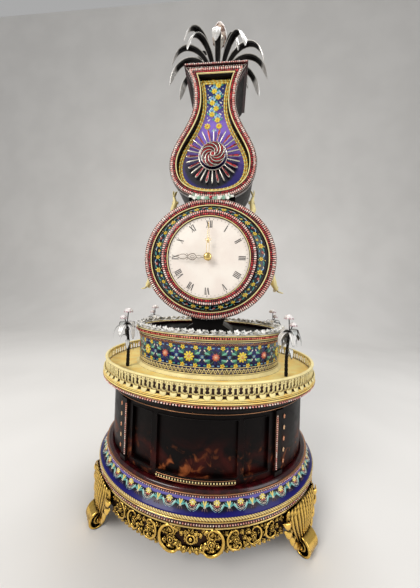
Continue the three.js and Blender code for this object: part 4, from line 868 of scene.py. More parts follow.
WHITE_LEAF = tinted("frosted silver", rough=0.34, coat=0.3, metallic=0.1)
BRAID_GILT = tinted("gilt thread", rough=0.36, coat=0.2, metallic=0.1)
BLUE = enamel("blue enamel", ink(8, 9, 46), ink(24, 30, 112), coat=0.6)
NIGHT_ENAMEL = enamel("night blue enamel", ink(3, 4, 12), ink(9, 13, 34), coat=0.4)
OXBLOOD = enamel("dark red enamel", ink(34, 4, 7), ink(70, 10, 16), coat=0.4)
CAVETTO = cavetto_enamel()
PASTE = stone("red paste", ink(96, 6, 14), ink(206, 44, 50))
# Pale paste: partly pale stones and partly painted glints; the pale rows on the dark red bands of the rope,
# plinth, cornice and pilasters stand for the glints of red stones.
PALE_PASTE_AND_GLINTS = stone("pale paste and painted glints", ink(236, 150, 138), ink(255, 238, 226))
CORAL_PASTE = stone("coral paste", ink(176, 30, 30), ink(246, 150, 120))
TORTOISE_AND_REFLECTION = lacquer("tortoiseshell lacquer and painted reflection", ink(7, 3, 3), ink(52, 12, 8), ink(150, 82, 44), coat=0.0)
DARK_LACQUER = lacquer("dark lacquer", ink(9, 4, 4), ink(26, 8, 8), ink(54, 15, 12), scale=40.0, coat=0.06)
DARK_WOOD = wood()
DIAL_WHITE = dial_enamel()
POND = mirror()
FIGURES = enamel("fired black", ink(34, 30, 32), ink(58, 52, 54), rough=0.36)
LEAF_METAL = leaf_metal()


# Studio

def floor_and_backdrop():
    """A floor that sweeps up behind: flat, then a quarter turn, then upright, carried along x."""
    profile = [(-3.0, 0.0), (1.2, 0.0)]
    profile += [(1.2 + 0.8 * s, 0.8 - 0.8 * c) for s, c in
                ((np.sin(a), np.cos(a)) for a in np.linspace(0, np.pi / 2, 16)[1:])]
    profile += [(2.0, 3.6)]
    corners = [(x, y, z) for x in (-4.0, 4.0) for y, z in profile]
    count = len(profile)
    faces = [(k, k + count, k + count + 1, k + 1) for k in range(count - 1)]
    mesh = bpy.data.meshes.new("studio_floor")
    mesh.from_pydata(corners, [], faces)
    mesh.polygons.foreach_set("use_smooth", [True] * len(faces))
    made, tree, shader = material("studio paper", Roughness=0.85)
    paper = put(tree, "TexNoise", {"Vector": surface_place(tree), "Scale": 3.0}).outputs["Fac"]
    colour(tree, shader, two_tone(tree, paper, 0.3, 0.7, ink(226, 224, 221), ink(232, 230, 227)))
    mesh.materials.append(made)
    paper_sweep = placed("studio_floor", mesh)


def lamp(name, place, rise, size, power, tone):
    """A softbox aimed at the clock's own axis."""
    light = bpy.data.lights.new(name, "AREA")
    light.shape, light.size, light.size_y = "RECTANGLE", *size
    light.energy, light.color = power, tone
    holder = placed(name, light)
    holder.location = place
    holder.rotation_euler = (Vector((0, 0, rise)) - Vector(place)).to_track_quat("-Z", "Y").to_euler()


def studio():
    """The floor, the air, three softboxes and the plain colour view."""
    floor_and_backdrop()
    world = bpy.data.worlds.new("studio air")
    bpy.context.scene.world = world
    world.use_nodes = True
    air = world.node_tree.nodes["Background"]
    air.inputs["Color"].default_value = (1.0, 1.0, 1.0, 1.0)
    air.inputs["Strength"].default_value = 0.4
    lamp("key softbox", (-1.1, -1.5, 1.5), 0.42, (0.9, 1.2), 29, (1.0, 0.97, 0.93))
    lamp("fill softbox", (1.5, -1.1, 0.9), 0.4, (1.0, 1.4), 11, (0.95, 0.97, 1.0))
    lamp("top softbox", (0.1, 0.5, 1.9), 0.4, (1.0, 0.8), 14, (1.0, 1.0, 1.0))
    bpy.context.scene.view_settings.view_transform = "Standard"


def camera():
    """The photograph's view: low and close, turned a little left and rolled two degrees."""
    turn, rise, roll = np.radians([5.2, 0.4, 2.0])
    ahead = np.array([-np.sin(turn) * np.cos(rise), np.cos(turn) * np.cos(rise), np.sin(rise)])
    right = np.array([np.cos(turn), np.sin(turn), 0.0])
    up = np.cross(right, ahead)
    tilted = right * np.cos(roll) + up * np.sin(roll)
    upward = up * np.cos(roll) - right * np.sin(roll)
    lens = bpy.data.cameras.new("camera")
    lens.lens, lens.sensor_width = 13.49, 36.0
    lens.clip_start = 0.02
    holder = placed("camera", lens)
    axes = Matrix(np.stack([tilted, upward, -ahead], 1).tolist()).to_4x4()
    holder.matrix_world = Matrix.Translation(Vector((0.0346, -0.3892, 0.3237))) @ axes
    bpy.context.scene.camera = holder


# Base

def rope_moulding():
    """A tube round the oval whose radius dips between the strands: a (1 - q (1 - |sin(n t + phase)|) ^ 2)."""
    strands, rows = 310, 12
    steps = 6 * strands
    turn = np.arange(steps) / steps * TURN
    round_ = np.arange(rows) / rows * TURN
    phase = strands / 2 * turn[None] + 1.6 * np.sin(round_)[:, None] - 0.7 * np.cos(round_)[:, None]
    valley = (1 - np.abs(np.sin(phase))) ** 2
    swell = 1 - 0.42 * valley
    loops = np.empty((rows, steps, 3))
    radius = 173.3 + 2.1 * np.cos(round_)[:, None] * swell
    loops[..., :2] = radius[..., None] * oval_loop(1.0, OVAL, steps)[None]
    loops[..., 2] = 82.6 + 2.0 * np.sin(round_)[:, None] * swell
    # Painted shade: the valleys between the strands are tinted dark brown, the crests pale gold.
    shade = np.clip(1.15 - 2.9 * valley, 0, 1).reshape(-1, 1)
    tint = shade * ink(255, 224, 140) + (1 - shade) * ink(60, 26, 10)
    strand_work = Work().add(loft(loops, True), tint)
    strand_work.make("rope_strands", BRAID_GILT, "pale_gilt", replaces=["rope_moulding"])
    fillet = [(168.4, 71.4), (173.8, 71.4), (174.4, 71.9), (173.2, 72.4), (173.2, 78.4), (174.4, 78.7),
              (174.8, 79.2), (174.4, 79.8), (168.4, 80.2)]
    one_piece("rope_fillets", BRIGHT_GILT, "gilt", oval_turn(fillet))
    one_piece("rope_seat", OXBLOOD, "dark_lacquer", oval_turn(flat_ring(170.0, 173.5, 72.8, 77.8)))
    # The pale stones on the dark red seat stand for the glints of a red row: painted glints.
    stone_row("rope_stones", PALE_PASTE_AND_GLINTS, oval_loop(174.0), level, 75.8, 320, (0.75, 0.8, 1.0), BEAD)


def apron_edge(angle):
    """The lower edge's height: low at the quarter turns, and a soft arch between."""
    away = np.abs((angle + TURN / 8) % (TURN / 4) - TURN / 8)
    return 48.5 - 3.6 * (1 + np.cos(np.pi * np.minimum(1, away / 0.42)))


def c_scroll(pattern, place, hand, size):
    """A C of strip that rolls in at both ends: over the top, down the far side and back along the bottom."""
    shape = np.array([(0.10, 0.24), (-0.14, 0.28), (-0.30, 0.60), (0.0, 0.98), (0.52, 0.80), (0.84, 0.20),
                      (0.74, -0.48), (0.26, -0.92), (-0.34, -0.98), (-0.66, -0.66), (-0.42, -0.40),
                      (-0.20, -0.60)])
    points = np.asarray(place) + size * shape * [hand, 1.0]
    widths = [0.12 * size, 0.30 * size, 0.34 * size, 0.30 * size, 0.12 * size]
    rise = 0.45 * RELIEF + 0.3 * RELIEF * np.sin(np.pi * np.linspace(0, 1, 54))
    pattern.strand(points, 54, ring_section(1.0, 0.85, 8), widths, rise)


def relief_leaf(pattern, place, length, width, turn, height=RELIEF, lobes=2):
    """A leaf of overlapping lobes down both sides of a raised rib."""
    for k in range(lobes):
        share = (k + 0.4) / lobes
        side = length * (0.62 - 0.2 * share)
        at = np.asarray(place, float) + length * 0.55 * share * np.array([np.cos(turn), np.sin(turn)])
        lobe = dome(petal_outline(side, 0.42 * width), 0.75 * height)
        for hand in (-1, 1):
            pattern.lay(lobe, at, turn + hand * (0.75 - 0.3 * share))
    pattern.lay(dome(petal_outline(length, 0.5 * width), height), place, turn)


def apron_relief(quarter):
    """Scrolls, leaves and rosettes round the apron, mirrored about the front, the back and each side."""
    pattern, dice = Pattern(), np.random.default_rng(11)
    for k in range(4):
        middle, reach = k * quarter, 62 if k % 2 else 116
        (side_group if k % 2 else centre_group)(pattern, middle)
        for v, step, low in ((26.5, 7.5, 0.0), (19.0, 8.5, 0.5), (12.5, 8.0, 0.0), (6.0, 6.5, 0.5)):
            for n in range(int(reach / step)):
                x = (n + low + 0.4) * step
                edge = 3.0 * (1 - np.exp(-(x / 34) ** 2)) if v < 10 else 0.0
                heading = -0.9 if v < 10 else dice.uniform(-1.2, 1.2)
                for hand, turn in ((-1, np.pi - heading), (1, heading)):
                    relief_leaf(pattern, (middle + hand * x, v + edge), 7.5, 6.0, turn, 0.62 * RELIEF)
    return pattern


def rosette(pattern, place, radius):
    """Two rings of petals inside a raised ring, round a bead."""
    petal = dome(petal_outline(radius, 0.7 * radius, 8, 0.4), 0.75 * RELIEF)
    for k in range(9):
        pattern.lay(petal, place, k * TURN / 9)
    pattern.lay(ring_shape(0.66 * radius, 0.46 * radius, 1.7 * RELIEF), place, raised=0.3 * RELIEF)
    pattern.dot(place, 0.3 * radius, 10, 1.35 * RELIEF)


def relief_wings(pattern, middle, scrolls, leaves):
    """Both sides of a group: C scrolls that face by turns, each round a rosette, and leaves between."""
    for hand in (-1, 1):
        side = 0.0 if hand > 0 else np.pi
        for k, (x, v, size, eye_x, eye_v, eye) in enumerate(scrolls):
            c_scroll(pattern, (middle + hand * x, v), hand * (-1) ** k, size)
            rosette(pattern, (middle + hand * eye_x, eye_v), eye)
        for x, v, length, turn in leaves:
            relief_leaf(pattern, (middle + hand * x, v), length, 0.75 * length, side + hand * turn)


def centre_group(pattern, middle):
    """The front's and back's relief: a rosette and a leafy drop between wings of four scrolls."""
    rosette(pattern, (middle, 18.6), 8.2)
    for spread in (-1.25, -0.62, 0.0, 0.62, 1.25):
        place = (middle + 6 * spread, 10.4 - 2.5 * abs(spread))
        relief_leaf(pattern, place, 9.6, 7.5, -TURN / 4 + spread)
    for spread in (-0.5, 0.5):
        relief_leaf(pattern, (middle, 25.0), 6.0, 3.6, TURN / 4 + spread, lobes=1)
    scrolls = ((24, 15.4, 14.6, 23, 14.0, 5.4), (50, 17.6, 10.8, 51, 17.0, 4.2),
               (73, 18.6, 9.6, 72, 17.8, 3.8), (95, 18.6, 9.6, 96, 18.0, 3.8))
    relief_wings(pattern, middle, scrolls, (
        (12, 25, 10, 0.35), (12.5, 13, 10, -0.5), (20, 21, 9, 0.8), (28, 20, 8, 0.2), (19, 7.5, 9, -0.25),
        (27, 8, 8, 0.5), (37, 27, 8, -0.7), (38, 6.5, 10, 0.6), (38, 16, 8, 0.1), (45, 8, 10, 0.25),
        (58, 8.5, 9, 0.3), (61, 26, 9, -0.5), (62, 13, 8, 0.4), (69, 9.5, 9, 0.3), (82, 14, 9, 0.5),
        (83, 25, 9, -0.3)))


def side_group(pattern, middle):
    """The ends' relief: a rosette over leaves between wings of two scrolls."""
    rosette(pattern, (middle, 18.6), 7.0)
    for spread in (-0.9, 0.0, 0.9):
        relief_leaf(pattern, (middle + 5 * spread, 11.0), 9.5, 7.0, -TURN / 4 + spread)
    scrolls = ((20, 16.6, 12.0, 19.5, 15.5, 4.6), (44, 18.6, 9.6, 45, 18.0, 3.8))
    relief_wings(pattern, middle, scrolls, (
        (10, 25, 9, 0.3), (10, 13, 9, -0.5), (17, 22, 8, 0.6), (23, 9, 8, 0.3), (33, 25, 9, -0.5),
        (33, 10, 10, 0.5), (34, 17, 9, 0.1)))


def apron():
    """A wall under the rope whose lower edge follows the arches, with cast relief."""
    steps, rows = 720, 6
    ring = oval_loop(1.0, OVAL, steps)
    edge = apron_edge(np.arange(steps) / steps * TURN - TURN / 4)
    share = np.linspace(0, 1, rows)[:, None]
    height = edge + (APRON_TOP - edge) * share
    outer, inner = np.full((rows, steps), 170.4), np.full((rows, steps), 168.5)
    radius = np.vstack([outer, inner[::-1]])
    tall = np.vstack([height, height[::-1]])
    loops = np.concatenate([radius[..., None] * ring[None], tall[..., None]], -1)
    # Painted shade: the ground behind the cast relief is near-black gilt.
    one_piece("apron_ground", DARK_GILT, "gilt", loft(loops, True), ["base_apron"])
    wrap = OvalWrap(OVAL, 170.3, [(170.3, 31.0), (170.3, 73.0)], -10.0)
    apron_relief(wrap.girth() / 4).piece("apron_relief", GILT, wrap, "gilt")


def corner_place(side_x, side_y, angle, radius):
    """A corner's angle and its point on the base's oval, with the ways out of the oval and along it."""
    angle = side_y * angle if side_x > 0 else np.pi - side_y * angle
    place = np.array([radius * np.cos(angle), OVAL * radius * np.sin(angle)])
    out = unit(np.array([OVAL * np.cos(angle), np.sin(angle)]))
    return angle, place, out, np.array([-out[1], out[0]])


def fall_back(side):
    """How far the base's oval falls back at a distance beside a foot: 60 (side / radius) ^ 2."""
    return (side / FOOT_RADIUS) ** 2 * 60


def foot(name, side_x, side_y):
    """A fluted fan over a volute: the fan's stand-off ripples across it, the volute is a rolled strip."""
    work, (_, place, out, along) = Work(), corner_place(side_x, side_y, FOOT_ANGLE, FOOT_RADIUS)
    rows, columns = 60, 157
    v = np.linspace(0, 1, rows)
    height = 72.0 + (15.0 + GROUND - 72.0) * v
    shares = [0, 0.18, 0.38, 0.6, 0.8, 1.0]
    half = np.interp(v, shares, [33, 36, 34, 28, 20.5, 13])
    stand = np.interp(v, shares, [1.0, 3.6, 5.6, 6.4, 6.6, 7.0])
    u = np.linspace(-1, 1, columns)
    flutes = np.abs(np.sin(5.5 * np.pi * u))[None]
    ripple = 3.4 * flutes ** 0.8 * np.interp(v, [0, 0.3, 1], [1, 1, 0.45])[:, None]
    side = half[:, None] * u[None]
    ripple = ripple + 0.7 * np.abs(np.sin((side * np.sign(u) * 1.1 + height[:, None]) * 0.75))
    front = stand[:, None] * (1 - 0.55 * u[None] ** 2) + ripple - fall_back(side)
    back = front - 3.4 - 0.7 * ripple
    scallop = height[:, None] - 3.0 * flutes * v[:, None]

    def sheet(depth):
        """The fan's surface at that distance out."""
        flat = place + side[..., None] * along + depth[..., None] * out
        return np.concatenate([flat, scallop[..., None]], -1)

    loops = np.concatenate([sheet(front), sheet(back)[:, ::-1]], axis=1)
    work.add(loft(loops))
    base = np.array([*place, GROUND])
    out, along = np.array([*out, 0.0]), np.array([*along, 0.0])
    volute(work, base, out, along)
    foot_leaves(work, base, out, along)
    work.make(f"{name}_casting", GILT, "gilt", replaces=[name])


def volute(work, base, out, along):
    """A strip that rolls down and round its eye: r = 12.6 (1 - 0.8 t), wider at the start than at the eye."""
    t = np.linspace(0, 1, 70)
    angle = TURN * (0.28 - 1.75 * t)
    radius = 12.6 * (1 - 0.8 * t)
    middle = base + 6.6 * out + np.array([0, 0, 11.25])
    path = middle + radius[:, None] * (np.cos(angle)[:, None] * out + np.sin(angle)[:, None] * [0, 0, 1])
    half = np.array([(-12, 0.9), (-10.4, 1.6), (-8.4, 0.5), (-5.4, 1.5), (-3.2, 0.4), (0, 1.6), (3.2, 0.4),
                     (5.4, 1.5), (8.4, 0.5), (10.4, 1.6), (12, 0.9)])
    section = np.vstack([half * [1, -1], half[::-1]])
    work.add(sweep(path, section, along, np.linspace(1.0, 0.86, len(t))))
    eye = np.stack([middle + reach * along for reach in (-12.6, -12.2, 12.2, 12.6)])
    ring = disc_outline(1, 16)
    sizes = [1.4, 2.6, 2.6, 1.4]
    loops = [e + s * (ring[:, :1] * out + ring[:, 1:] * [0, 0, 1]) for e, s in zip(eye, sizes)]
    work.add(loft(loops))


def foot_leaves(work, base, out, along):
    """Curled leaves that spring from both edges of the fan, the lowest beside the volute."""
    t = np.linspace(0, 1, 12)[:, None]
    for hand in (-1, 1):
        for start, rise, reach, drop in ((6, 17, 15, 4), (12, 24, 17, 6), (20, 33, 15, 6), (28, 44, 15, 4),
                                         (31, 54, 13, 2)):
            root = base + 4.5 * out + hand * start * along + [0, 0, rise]
            path = root + t * hand * reach * along - np.sin(1.3 * np.pi * t) * drop * np.array([0, 0, 1])
            path = path + (2.2 * np.sin(np.pi * t)) * out
            path = path - fall_back(np.einsum("ij,j->i", path - base, along))[:, None] * out
            width = np.sin(np.pi * np.clip(t[:, 0] * 0.86 + 0.12, 0, 1)) * 0.9 + 0.1
            work.add(sweep(path, ring_section(3.2, 9.0, 10), out, width))


def cavetto_band():
    """The cove r = 174 - 10 sin over its height, with enamelled sprays drawn in to its upper part."""
    share = np.linspace(0, 1, 15)
    profile = list(zip(174.0 - 10.0 * np.sin(share * np.pi / 2), 84.6 + 13.2 * share))
    body = [(160.0, 84.5), *profile, (160.0, 97.9)]
    one_piece("cavetto_cove", CAVETTO, "cavetto_enamel", oval_turn(body), ["enamel_cavetto"])
    wrap = OvalWrap(OVAL, 174.0, profile)
    pattern, units = Pattern(), 34
    pitch = wrap.girth() / units
    for k in range(units):
        cavetto_spray(pattern, k * pitch, pitch)
    lift, drawn = 4.2, 0.76
    for (corners, _, _), _ in pattern.parts:
        corners[:, 1] = lift + drawn * corners[:, 1]
    pattern.piece("cavetto_sprays", ENAMEL_PAINT, wrap, "cavetto_enamel")


def cavetto_spray(pattern, u, pitch):
    """One repeat: a flower over a dark heart in a white chevron, and a pale leaf fan before the next."""
    pattern.lay(dome(petal_outline(11.0, 11.0, 10, 0.55), 0.15), (u, 3.4), TURN / 4, ink(52, 12, 22))
    for hand in (-1, 1):
        for n, tone in enumerate((CREAM, ink(150, 190, 200))):
            line = [(u + hand * (0.3 + n), 2.2 - 1.6 * n), (u + hand * (4.4 + n), 5.2 - 1.6 * n),
                    (u + hand * (8.2 + n), 11.4 - 1.4 * n)]
            pattern.stem(line, 1.3 - 0.5 * n, tone)
        pattern.leaf((u + hand * 4.5, 3.6), 8.0, 3.0, TURN / 4 - hand * 0.55, ink(128, 200, 190))
        for n in range(4):
            pattern.dot((u + hand * (1.0 + 1.35 * n), 3.9 + 1.75 * n), 0.62, 6, 0.5, CREAM, 0.2)
        pattern.leaf((u, 6.6), 3.4, 1.9, TURN / 4 - hand * 0.9, CORAL, 0.2)
    pattern.flower((u, 12.2), 4.3, 7, ink(250, 232, 130), CREAM, height=0.8, raised=0.2)
    other = u + pitch / 2
    for turn in (-1.05, -0.62, -0.22, 0.22, 0.62, 1.05):
        tone = PALE_YELLOW if abs(turn) < 0.5 else ink(96, 176, 170)
        pattern.leaf((other, 6.0), 9.0 - 2.0 * abs(turn), 1.9, TURN / 4 + turn, tone)
    for hand in (-1, 0, 1):
        pattern.leaf((other + 1.6 * hand, 6.4), 5.6, 1.3, -TURN / 4 + 0.25 * hand, ink(70, 24, 44))
    pattern.flower((other, 6.2), 1.7, 5, CREAM, YELLOW)


def plinth_base():
    """A dark red moulding under the wall with a row of stones, and a rosy line over them."""
    profile = [(150.0, 98.4), (163.8, 98.4), (164.2, 99.0), (164.2, 101.6), (163.0, 102.0), (162.4, 104.4),
               (161.4, 105.4), (160.0, 105.9), (150.0, 105.9)]
    one_piece("plinth_moulding", OXBLOOD, "dark_lacquer", oval_turn(profile), ["plinth_foot"])
    band = [(160.0, 102.0), (164.6, 102.0), (165.0, 102.4), (164.6, 102.9), (160.0, 102.9)]
    one_piece("plinth_band", ROSE_GILT, "gilt", oval_turn(band))
    # The pale stones on the dark red moulding stand for the glints of a red row: painted glints.
    stone_row("plinth_stones", PALE_PASTE_AND_GLINTS, oval_loop(164.6), level, 100.2, 320, (0.7, 0.75, 0.9), BEAD)


def cornice():
    """A stepped dark moulding under the platform, with two rosy lines and a row of stones."""
    cove = [(160.2 + 9.4 * (1 - np.cos(t)), 193.6 + 8.0 * np.sin(t)) for t in np.linspace(0, 1.45, 9)]
    profile = [(150.0, 190.1), (157.8, 190.1), (158.4, 191.0), (158.4, 192.6), (160.2, 193.6), *cove,
               (170.6, 202.4), (170.6, 203.6), (172.4, 204.2), (172.4, 207.9), (150.0, 207.9)]
    one_piece("cornice_moulding", DARK_LACQUER, "dark_lacquer", oval_turn(profile), ["plinth_cornice"])
    lines = Work()
    for radius, low, high in ((158.9, 191.4, 192.2), (174.6, 207.9, 208.7)):
        lines.add(oval_turn(eased_ring(radius, low, high, 0.3)))
    lines.make("cornice_lines", ROSE_GILT, "gilt")
    # The pale stones on the dark moulding stand for the glints of a red row: painted glints.
    stone_row("cornice_stones", PALE_PASTE_AND_GLINTS, oval_loop(172.8), level, 205.9, 270, (1.25, 1.25, 1.3), BEAD)


def front_reach(wrap, radius, x):
    """How far along the oval's girth from the front the point with that x lies."""
    angle = np.arcsin(abs(x) / radius) - TURN / 4
    return float(np.sign(x) * np.interp(angle, wrap.angle, wrap.length))


def wall_trim():
    """A thin frame round each bay, and a short upright in the middle one's foot."""
    frames, wrap = Work(), OvalWrap(OVAL, WALL_FACE, [(WALL_FACE, WALL_FOOT), (WALL_FACE, 189.7)])
    bays = [(left - 1.2, right + 1.2, 114.2, 183.8) for left, right in ((-50, 50), (-89, -58), (58, 89))]
    for x0, x1, z0, z1 in (*bays, (-0.3, 0.3, 114.6, 120.5)):
        v0, v1 = z0 - WALL_FOOT, z1 - WALL_FOOT
        line = [(front_reach(wrap, WALL_FACE, x), v) for x, v in ((x0, v0), (x1, v0), (x1, v1), (x0, v1))]
        flat = resample(np.vstack([line, line[:1]]), 120)[:-1]
        frames.add(sweep(wrap(level(flat, 0.3)), ring_section(0.7, 1.0, 6), (0, 0, 1), closed=True))
    frames.make("bay_frames", DARK_BRONZE, "gilt")


def pilaster_strips():
    """An upright row of small stones on each pilaster with little flowers beside it, between thin lines."""
    lines, stones, flowers = Work(), Work(), Work()
    heights, bloom = np.linspace(114.5, 181.5, 27), blossom(1.9)
    for hand, way in ((-1, -1), (-1, 1), (1, -1), (1, 1)):
        angle, place, out, along = corner_place(hand, way, PILASTER_ANGLE, 157.6)
        along = along * way * hand
        places = np.column_stack([np.tile(place + 0.35 * out + 3.4 * along, (27, 1)), heights])
        stones.add(scatter(BEAD, places, [0, 0, 1], [*out, 0], (0.95, 0.9, 0.9)))
        beside = angle - hand * way * 0.082
        spot = 155.4 * np.array([np.cos(beside), OVAL * np.sin(beside)])
        places = np.column_stack([np.tile(spot, (5, 1)), np.linspace(119, 177, 5)])
        flowers.strew(bloom, places, [0, 0, 1], [*out, 0], (1.9, 1.0, 1.0),
                      [ink(226, 150, 100), ink(236, 190, 140)])
        for shift in (1.8, 5.1):
            path = np.column_stack([np.tile(place + 0.1 * out + shift * along, (2, 1)), [112.6, 183.4]])
            lines.add(sweep(path, ring_section(0.55, 0.7, 6), [*out, 0]))
    # The pale stones on the dark pilasters stand for the glints of a red row: painted glints.
    stones.make("pilaster_stones", PALE_PASTE_AND_GLINTS, "red_paste")
    flowers.make("pilaster_flowers", ENAMEL_PAINT, "red_paste")
    lines.make("pilaster_lines", ROSE_GILT, "gilt")


def sill_grille():
    """A row of upright pale blocks between two rosy lines, under the middle bay."""
    wrap = OvalWrap(OVAL, SILL_FACE, [(SILL_FACE, WALL_FOOT), (SILL_FACE, 115.0)])
    half = front_reach(wrap, SILL_FACE, 49.0)
    blocks, lines = Pattern(), Work()
    block = dome(np.array([[-0.75, -1.1], [0.75, -1.1], [0.75, 1.1], [-0.75, 1.1]]), 0.9)
    for u in np.linspace(-half + 1, half - 1, 28):
        blocks.lay(block, (u, 4.3))
    blocks.piece("sill_blocks", PALE_GILT, wrap, "pale_gilt")
    for v in (2.1, 6.9):
        flat = np.column_stack([np.linspace(-half, half, 60), np.full(60, v), np.full(60, 0.1)])
        lines.add(sweep(wrap(flat), ring_section(0.7, 0.7, 6), (0, 0, 1)))
    lines.make("sill_lines", ROSE_GILT, "gilt")


# Platform

def deck():
    """The platform's board with two pale beads at its edge, and the flared foot under the tub."""
    profile = [(0.4, 209.1), (173.4, 209.1), (174.4, 209.5), (174.4, 210.3), (173.4, 210.7), (172.0, 210.8),
               (172.0, 211.5), (173.4, 211.6), (174.1, 212.0), (173.6, 212.5), (172.0, 212.7), (172.0, 213.2),
               (173.9, 213.5), (173.7, 214.3), (172.4, 215.0), (171.4, 215.3), (171.4, DECK_TOP),
               (0.4, DECK_TOP)]
    one_piece("deck_board", DECK_GILT, "pale_gilt", oval_turn(profile), ["platform_deck"])
    # Painted shade: the three grooves at the deck's edge are lined with near-black gilt.
    dark = Work()
    for reach, low, high in ((171.9, 215.4, 218.6), (172.9, 210.85, 211.45), (172.9, 212.75, 213.15)):
        dark.add(oval_turn(flat_ring(170.0, reach, low, high)))
    dark.make("deck_grooves", DARK_GILT, "pale_gilt")
    flare = [(100.0, 218.0), (124.0, 218.0), (124.0, 219.4), (122.4, 220.0), (121.2, 221.2), (120.0, 223.4),
             (100.0, 223.4)]
    one_piece("tub_foot", PALE_GILT, "pale_gilt", oval_turn(flare, TUB_OVAL))


def pierced_cell(width, low, high, hole, depth):
    """A plate with one hole: rings go round its outside, back and front, and back through the hole."""
    middle_v = (low + high) / 2
    half_u, half_v = width / 2, (high - low) / 2
    corner = np.arctan2(half_v, half_u)
    sides = [(-corner, corner, 5), (corner, np.pi - corner, 7), (np.pi - corner, np.pi + corner, 5),
             (np.pi + corner, TURN - corner, 7)]
    angle = np.concatenate([np.linspace(a, b, n, endpoint=False) for a, b, n in sides])
    c, s = np.cos(angle), np.sin(angle)
    reach = np.minimum(half_u / np.maximum(np.abs(c), 1e-6), half_v / np.maximum(np.abs(s), 1e-6))
    outside = np.stack([reach * c, reach * s + middle_v], -1)
    around = hole - [0, middle_v]
    bearing = np.arctan2(around[:, 1], around[:, 0]) % TURN
    order = np.argsort(bearing)
    radius = np.interp(angle % TURN, bearing[order], np.linalg.norm(around, axis=1)[order], period=TURN)
    inside = np.stack([radius * c, radius * s + middle_v], -1)
    lip = inside * 0.35 + outside * 0.65
    return loft([level(outside, -depth), level(outside, 0.55 * depth), level(lip, depth),
                 level(inside, 0.6 * depth), level(inside, -depth)], True)


def gallery():
    """Hourglass and bottle-shaped openings by turns, cups below, crosses and dots above, and a rail."""
    units, split, depth = 76, 9.2, 0.8
    wrap = OvalWrap(OVAL, GALLERY_HALF,
                    [(GALLERY_HALF, GALLERY_FOOT), (GALLERY_HALF, GALLERY_FOOT + GALLERY_HEIGHT)])
    pitch = wrap.girth() / units
    half_glass = np.array([(0, 0.6), (1.6, 0.8), (2.75, 2.3), (2.3, 3.8), (1.35, 4.8), (1.9, 5.7),
                           (2.75, 7.0), (2.0, 8.6), (0, 8.9)])
    half_flask = np.array([(0, 0.3), (2.7, 0.4), (2.0, 1.5), (1.45, 3.2), (1.4, 5.2), (2.0, 6.1), (1.6, 7.5),
                           (0, 8.0)])
    turn = np.arange(32) / 32 * TURN
    ways = np.stack([np.cos(turn), np.sin(turn)], -1)
    cross = (1.15 + 0.55 * np.cos(4 * turn))[:, None] * ways + [0, 10.5]
    dot = 0.85 * ways + [0, 10.3]
    pattern, cups = Pattern(), Pattern()
    for half, top, shift in ((half_glass, cross, 0.0), (half_flask, dot, pitch / 2)):
        hole = np.vstack([half, half[::-1][1:-1] * [-1, 1]])
        lower = pierced_cell(pitch / 2, 0.0, split, hole, depth)
        upper = pierced_cell(pitch / 2, split, GALLERY_HEIGHT, top, depth)
        for k in range(units):
            pattern.lay(lower, (k * pitch + shift, 0))
            pattern.lay(upper, (k * pitch + shift, 0))
    bowl = np.array([(-4.4, 6.3), (-4.5, 3.6), (-3.8, 1.6), (-2.2, 0.5), (0, 0.2), (2.2, 0.5), (3.8, 1.6),
                     (4.5, 3.6), (4.4, 6.3), (2.4, 5.6), (0, 5.2), (-2.4, 5.6)])
    cup = dome(0.94 * bowl, 1.3)
    edge = OvalWrap(OVAL, 172.6, [(173.4, 213.8), (172.6, 217.6), (171.8, 220.4)])
    for k in range(units):
        cups.lay(cup, (k * edge.girth() / units, 0))
    work = cups.onto(pattern.onto(Work(), wrap), edge)
    work.make("gallery_work", PALE_GILT, "pale_gilt", replaces=["gallery"])
    rail = [(170.0 + 2.1 * np.cos(a), 232.7 + 1.4 * np.sin(a)) for a in np.arange(14) / 14 * TURN]
    seat = [(168.9, 231.3), (171.1, 231.3), (171.3, 231.9), (168.7, 231.9)]
    work = Work().add(oval_turn(rail)).add(oval_turn(seat))
    work.make("rail_work", PALE_GILT, "pale_gilt", replaces=["gallery_rail"])


# Tub and pond

def tub():
    """An oval wall of blue enamel with lace bands at its foot and its top, and a bed of flowers."""
    profile = [(118.0, 223.8), (118.4, 226.0), (119.2, 240.0), (119.2, 256.0), (119.8, 262.0), (121.4, 269.3)]
    body = [(100.0, 223.8), *profile, (100.0, 269.3)]
    one_piece("tub_wall", BLUE, "blue_enamel", oval_turn(body, TUB_OVAL), ["tub"])
    wrap = OvalWrap(TUB_OVAL, 119.0, profile)
    flowers, lace, upper = Pattern(), Pattern(), Pattern()
    units, teeth = 18, 108
    pitch, tooth = wrap.girth() / units, wrap.girth() / teeth
    for k in range(units):
        tub_motif(flowers, (k + 0.5) * pitch, pitch, k % 2)
    flowers.piece("tub_flowers", ENAMEL_PAINT, wrap, "blue_enamel")
    for k in range(teeth):
        lace_tooth(lace, k * tooth, tooth, 1.6, 7.0)
        lace_tooth(upper, k * tooth, tooth, 40.0, 3.4)
    upper.piece("tub_top_lace", ROSE_GILT, wrap, "pale_gilt")
    work = lace.onto(Work(), wrap)
    for low, high, out in ((223.9, 225.1, 119.6), (233.4, 234.1, 119.9), (268.2, 269.3, 122.2)):
        work.add(oval_turn(eased_ring(out, low, high, 0.2), TUB_OVAL))
    work.make("tub_lace", PALE_GILT, "pale_gilt")


def lace_tooth(pattern, u, tooth, foot, rise):
    """One tooth of gilt lace: a chevron with a bead over it and one beside it."""
    for hand in (-1, 1):
        a, b = np.array([u, foot]), np.array([u + hand * tooth / 2, foot + rise])
        along = unit(b - a)
        side = 0.5 * np.array([-along[1], along[0]])
        pattern.lay(dome(np.array([a - side, b - side, b + side, a + side]), 0.75))
    pattern.dot((u, foot + 0.62 * rise + 0.6), 0.85, 8, 1.0)
    pattern.dot((u + tooth / 2, foot + 0.3 * rise), 0.6, 8, 0.9)


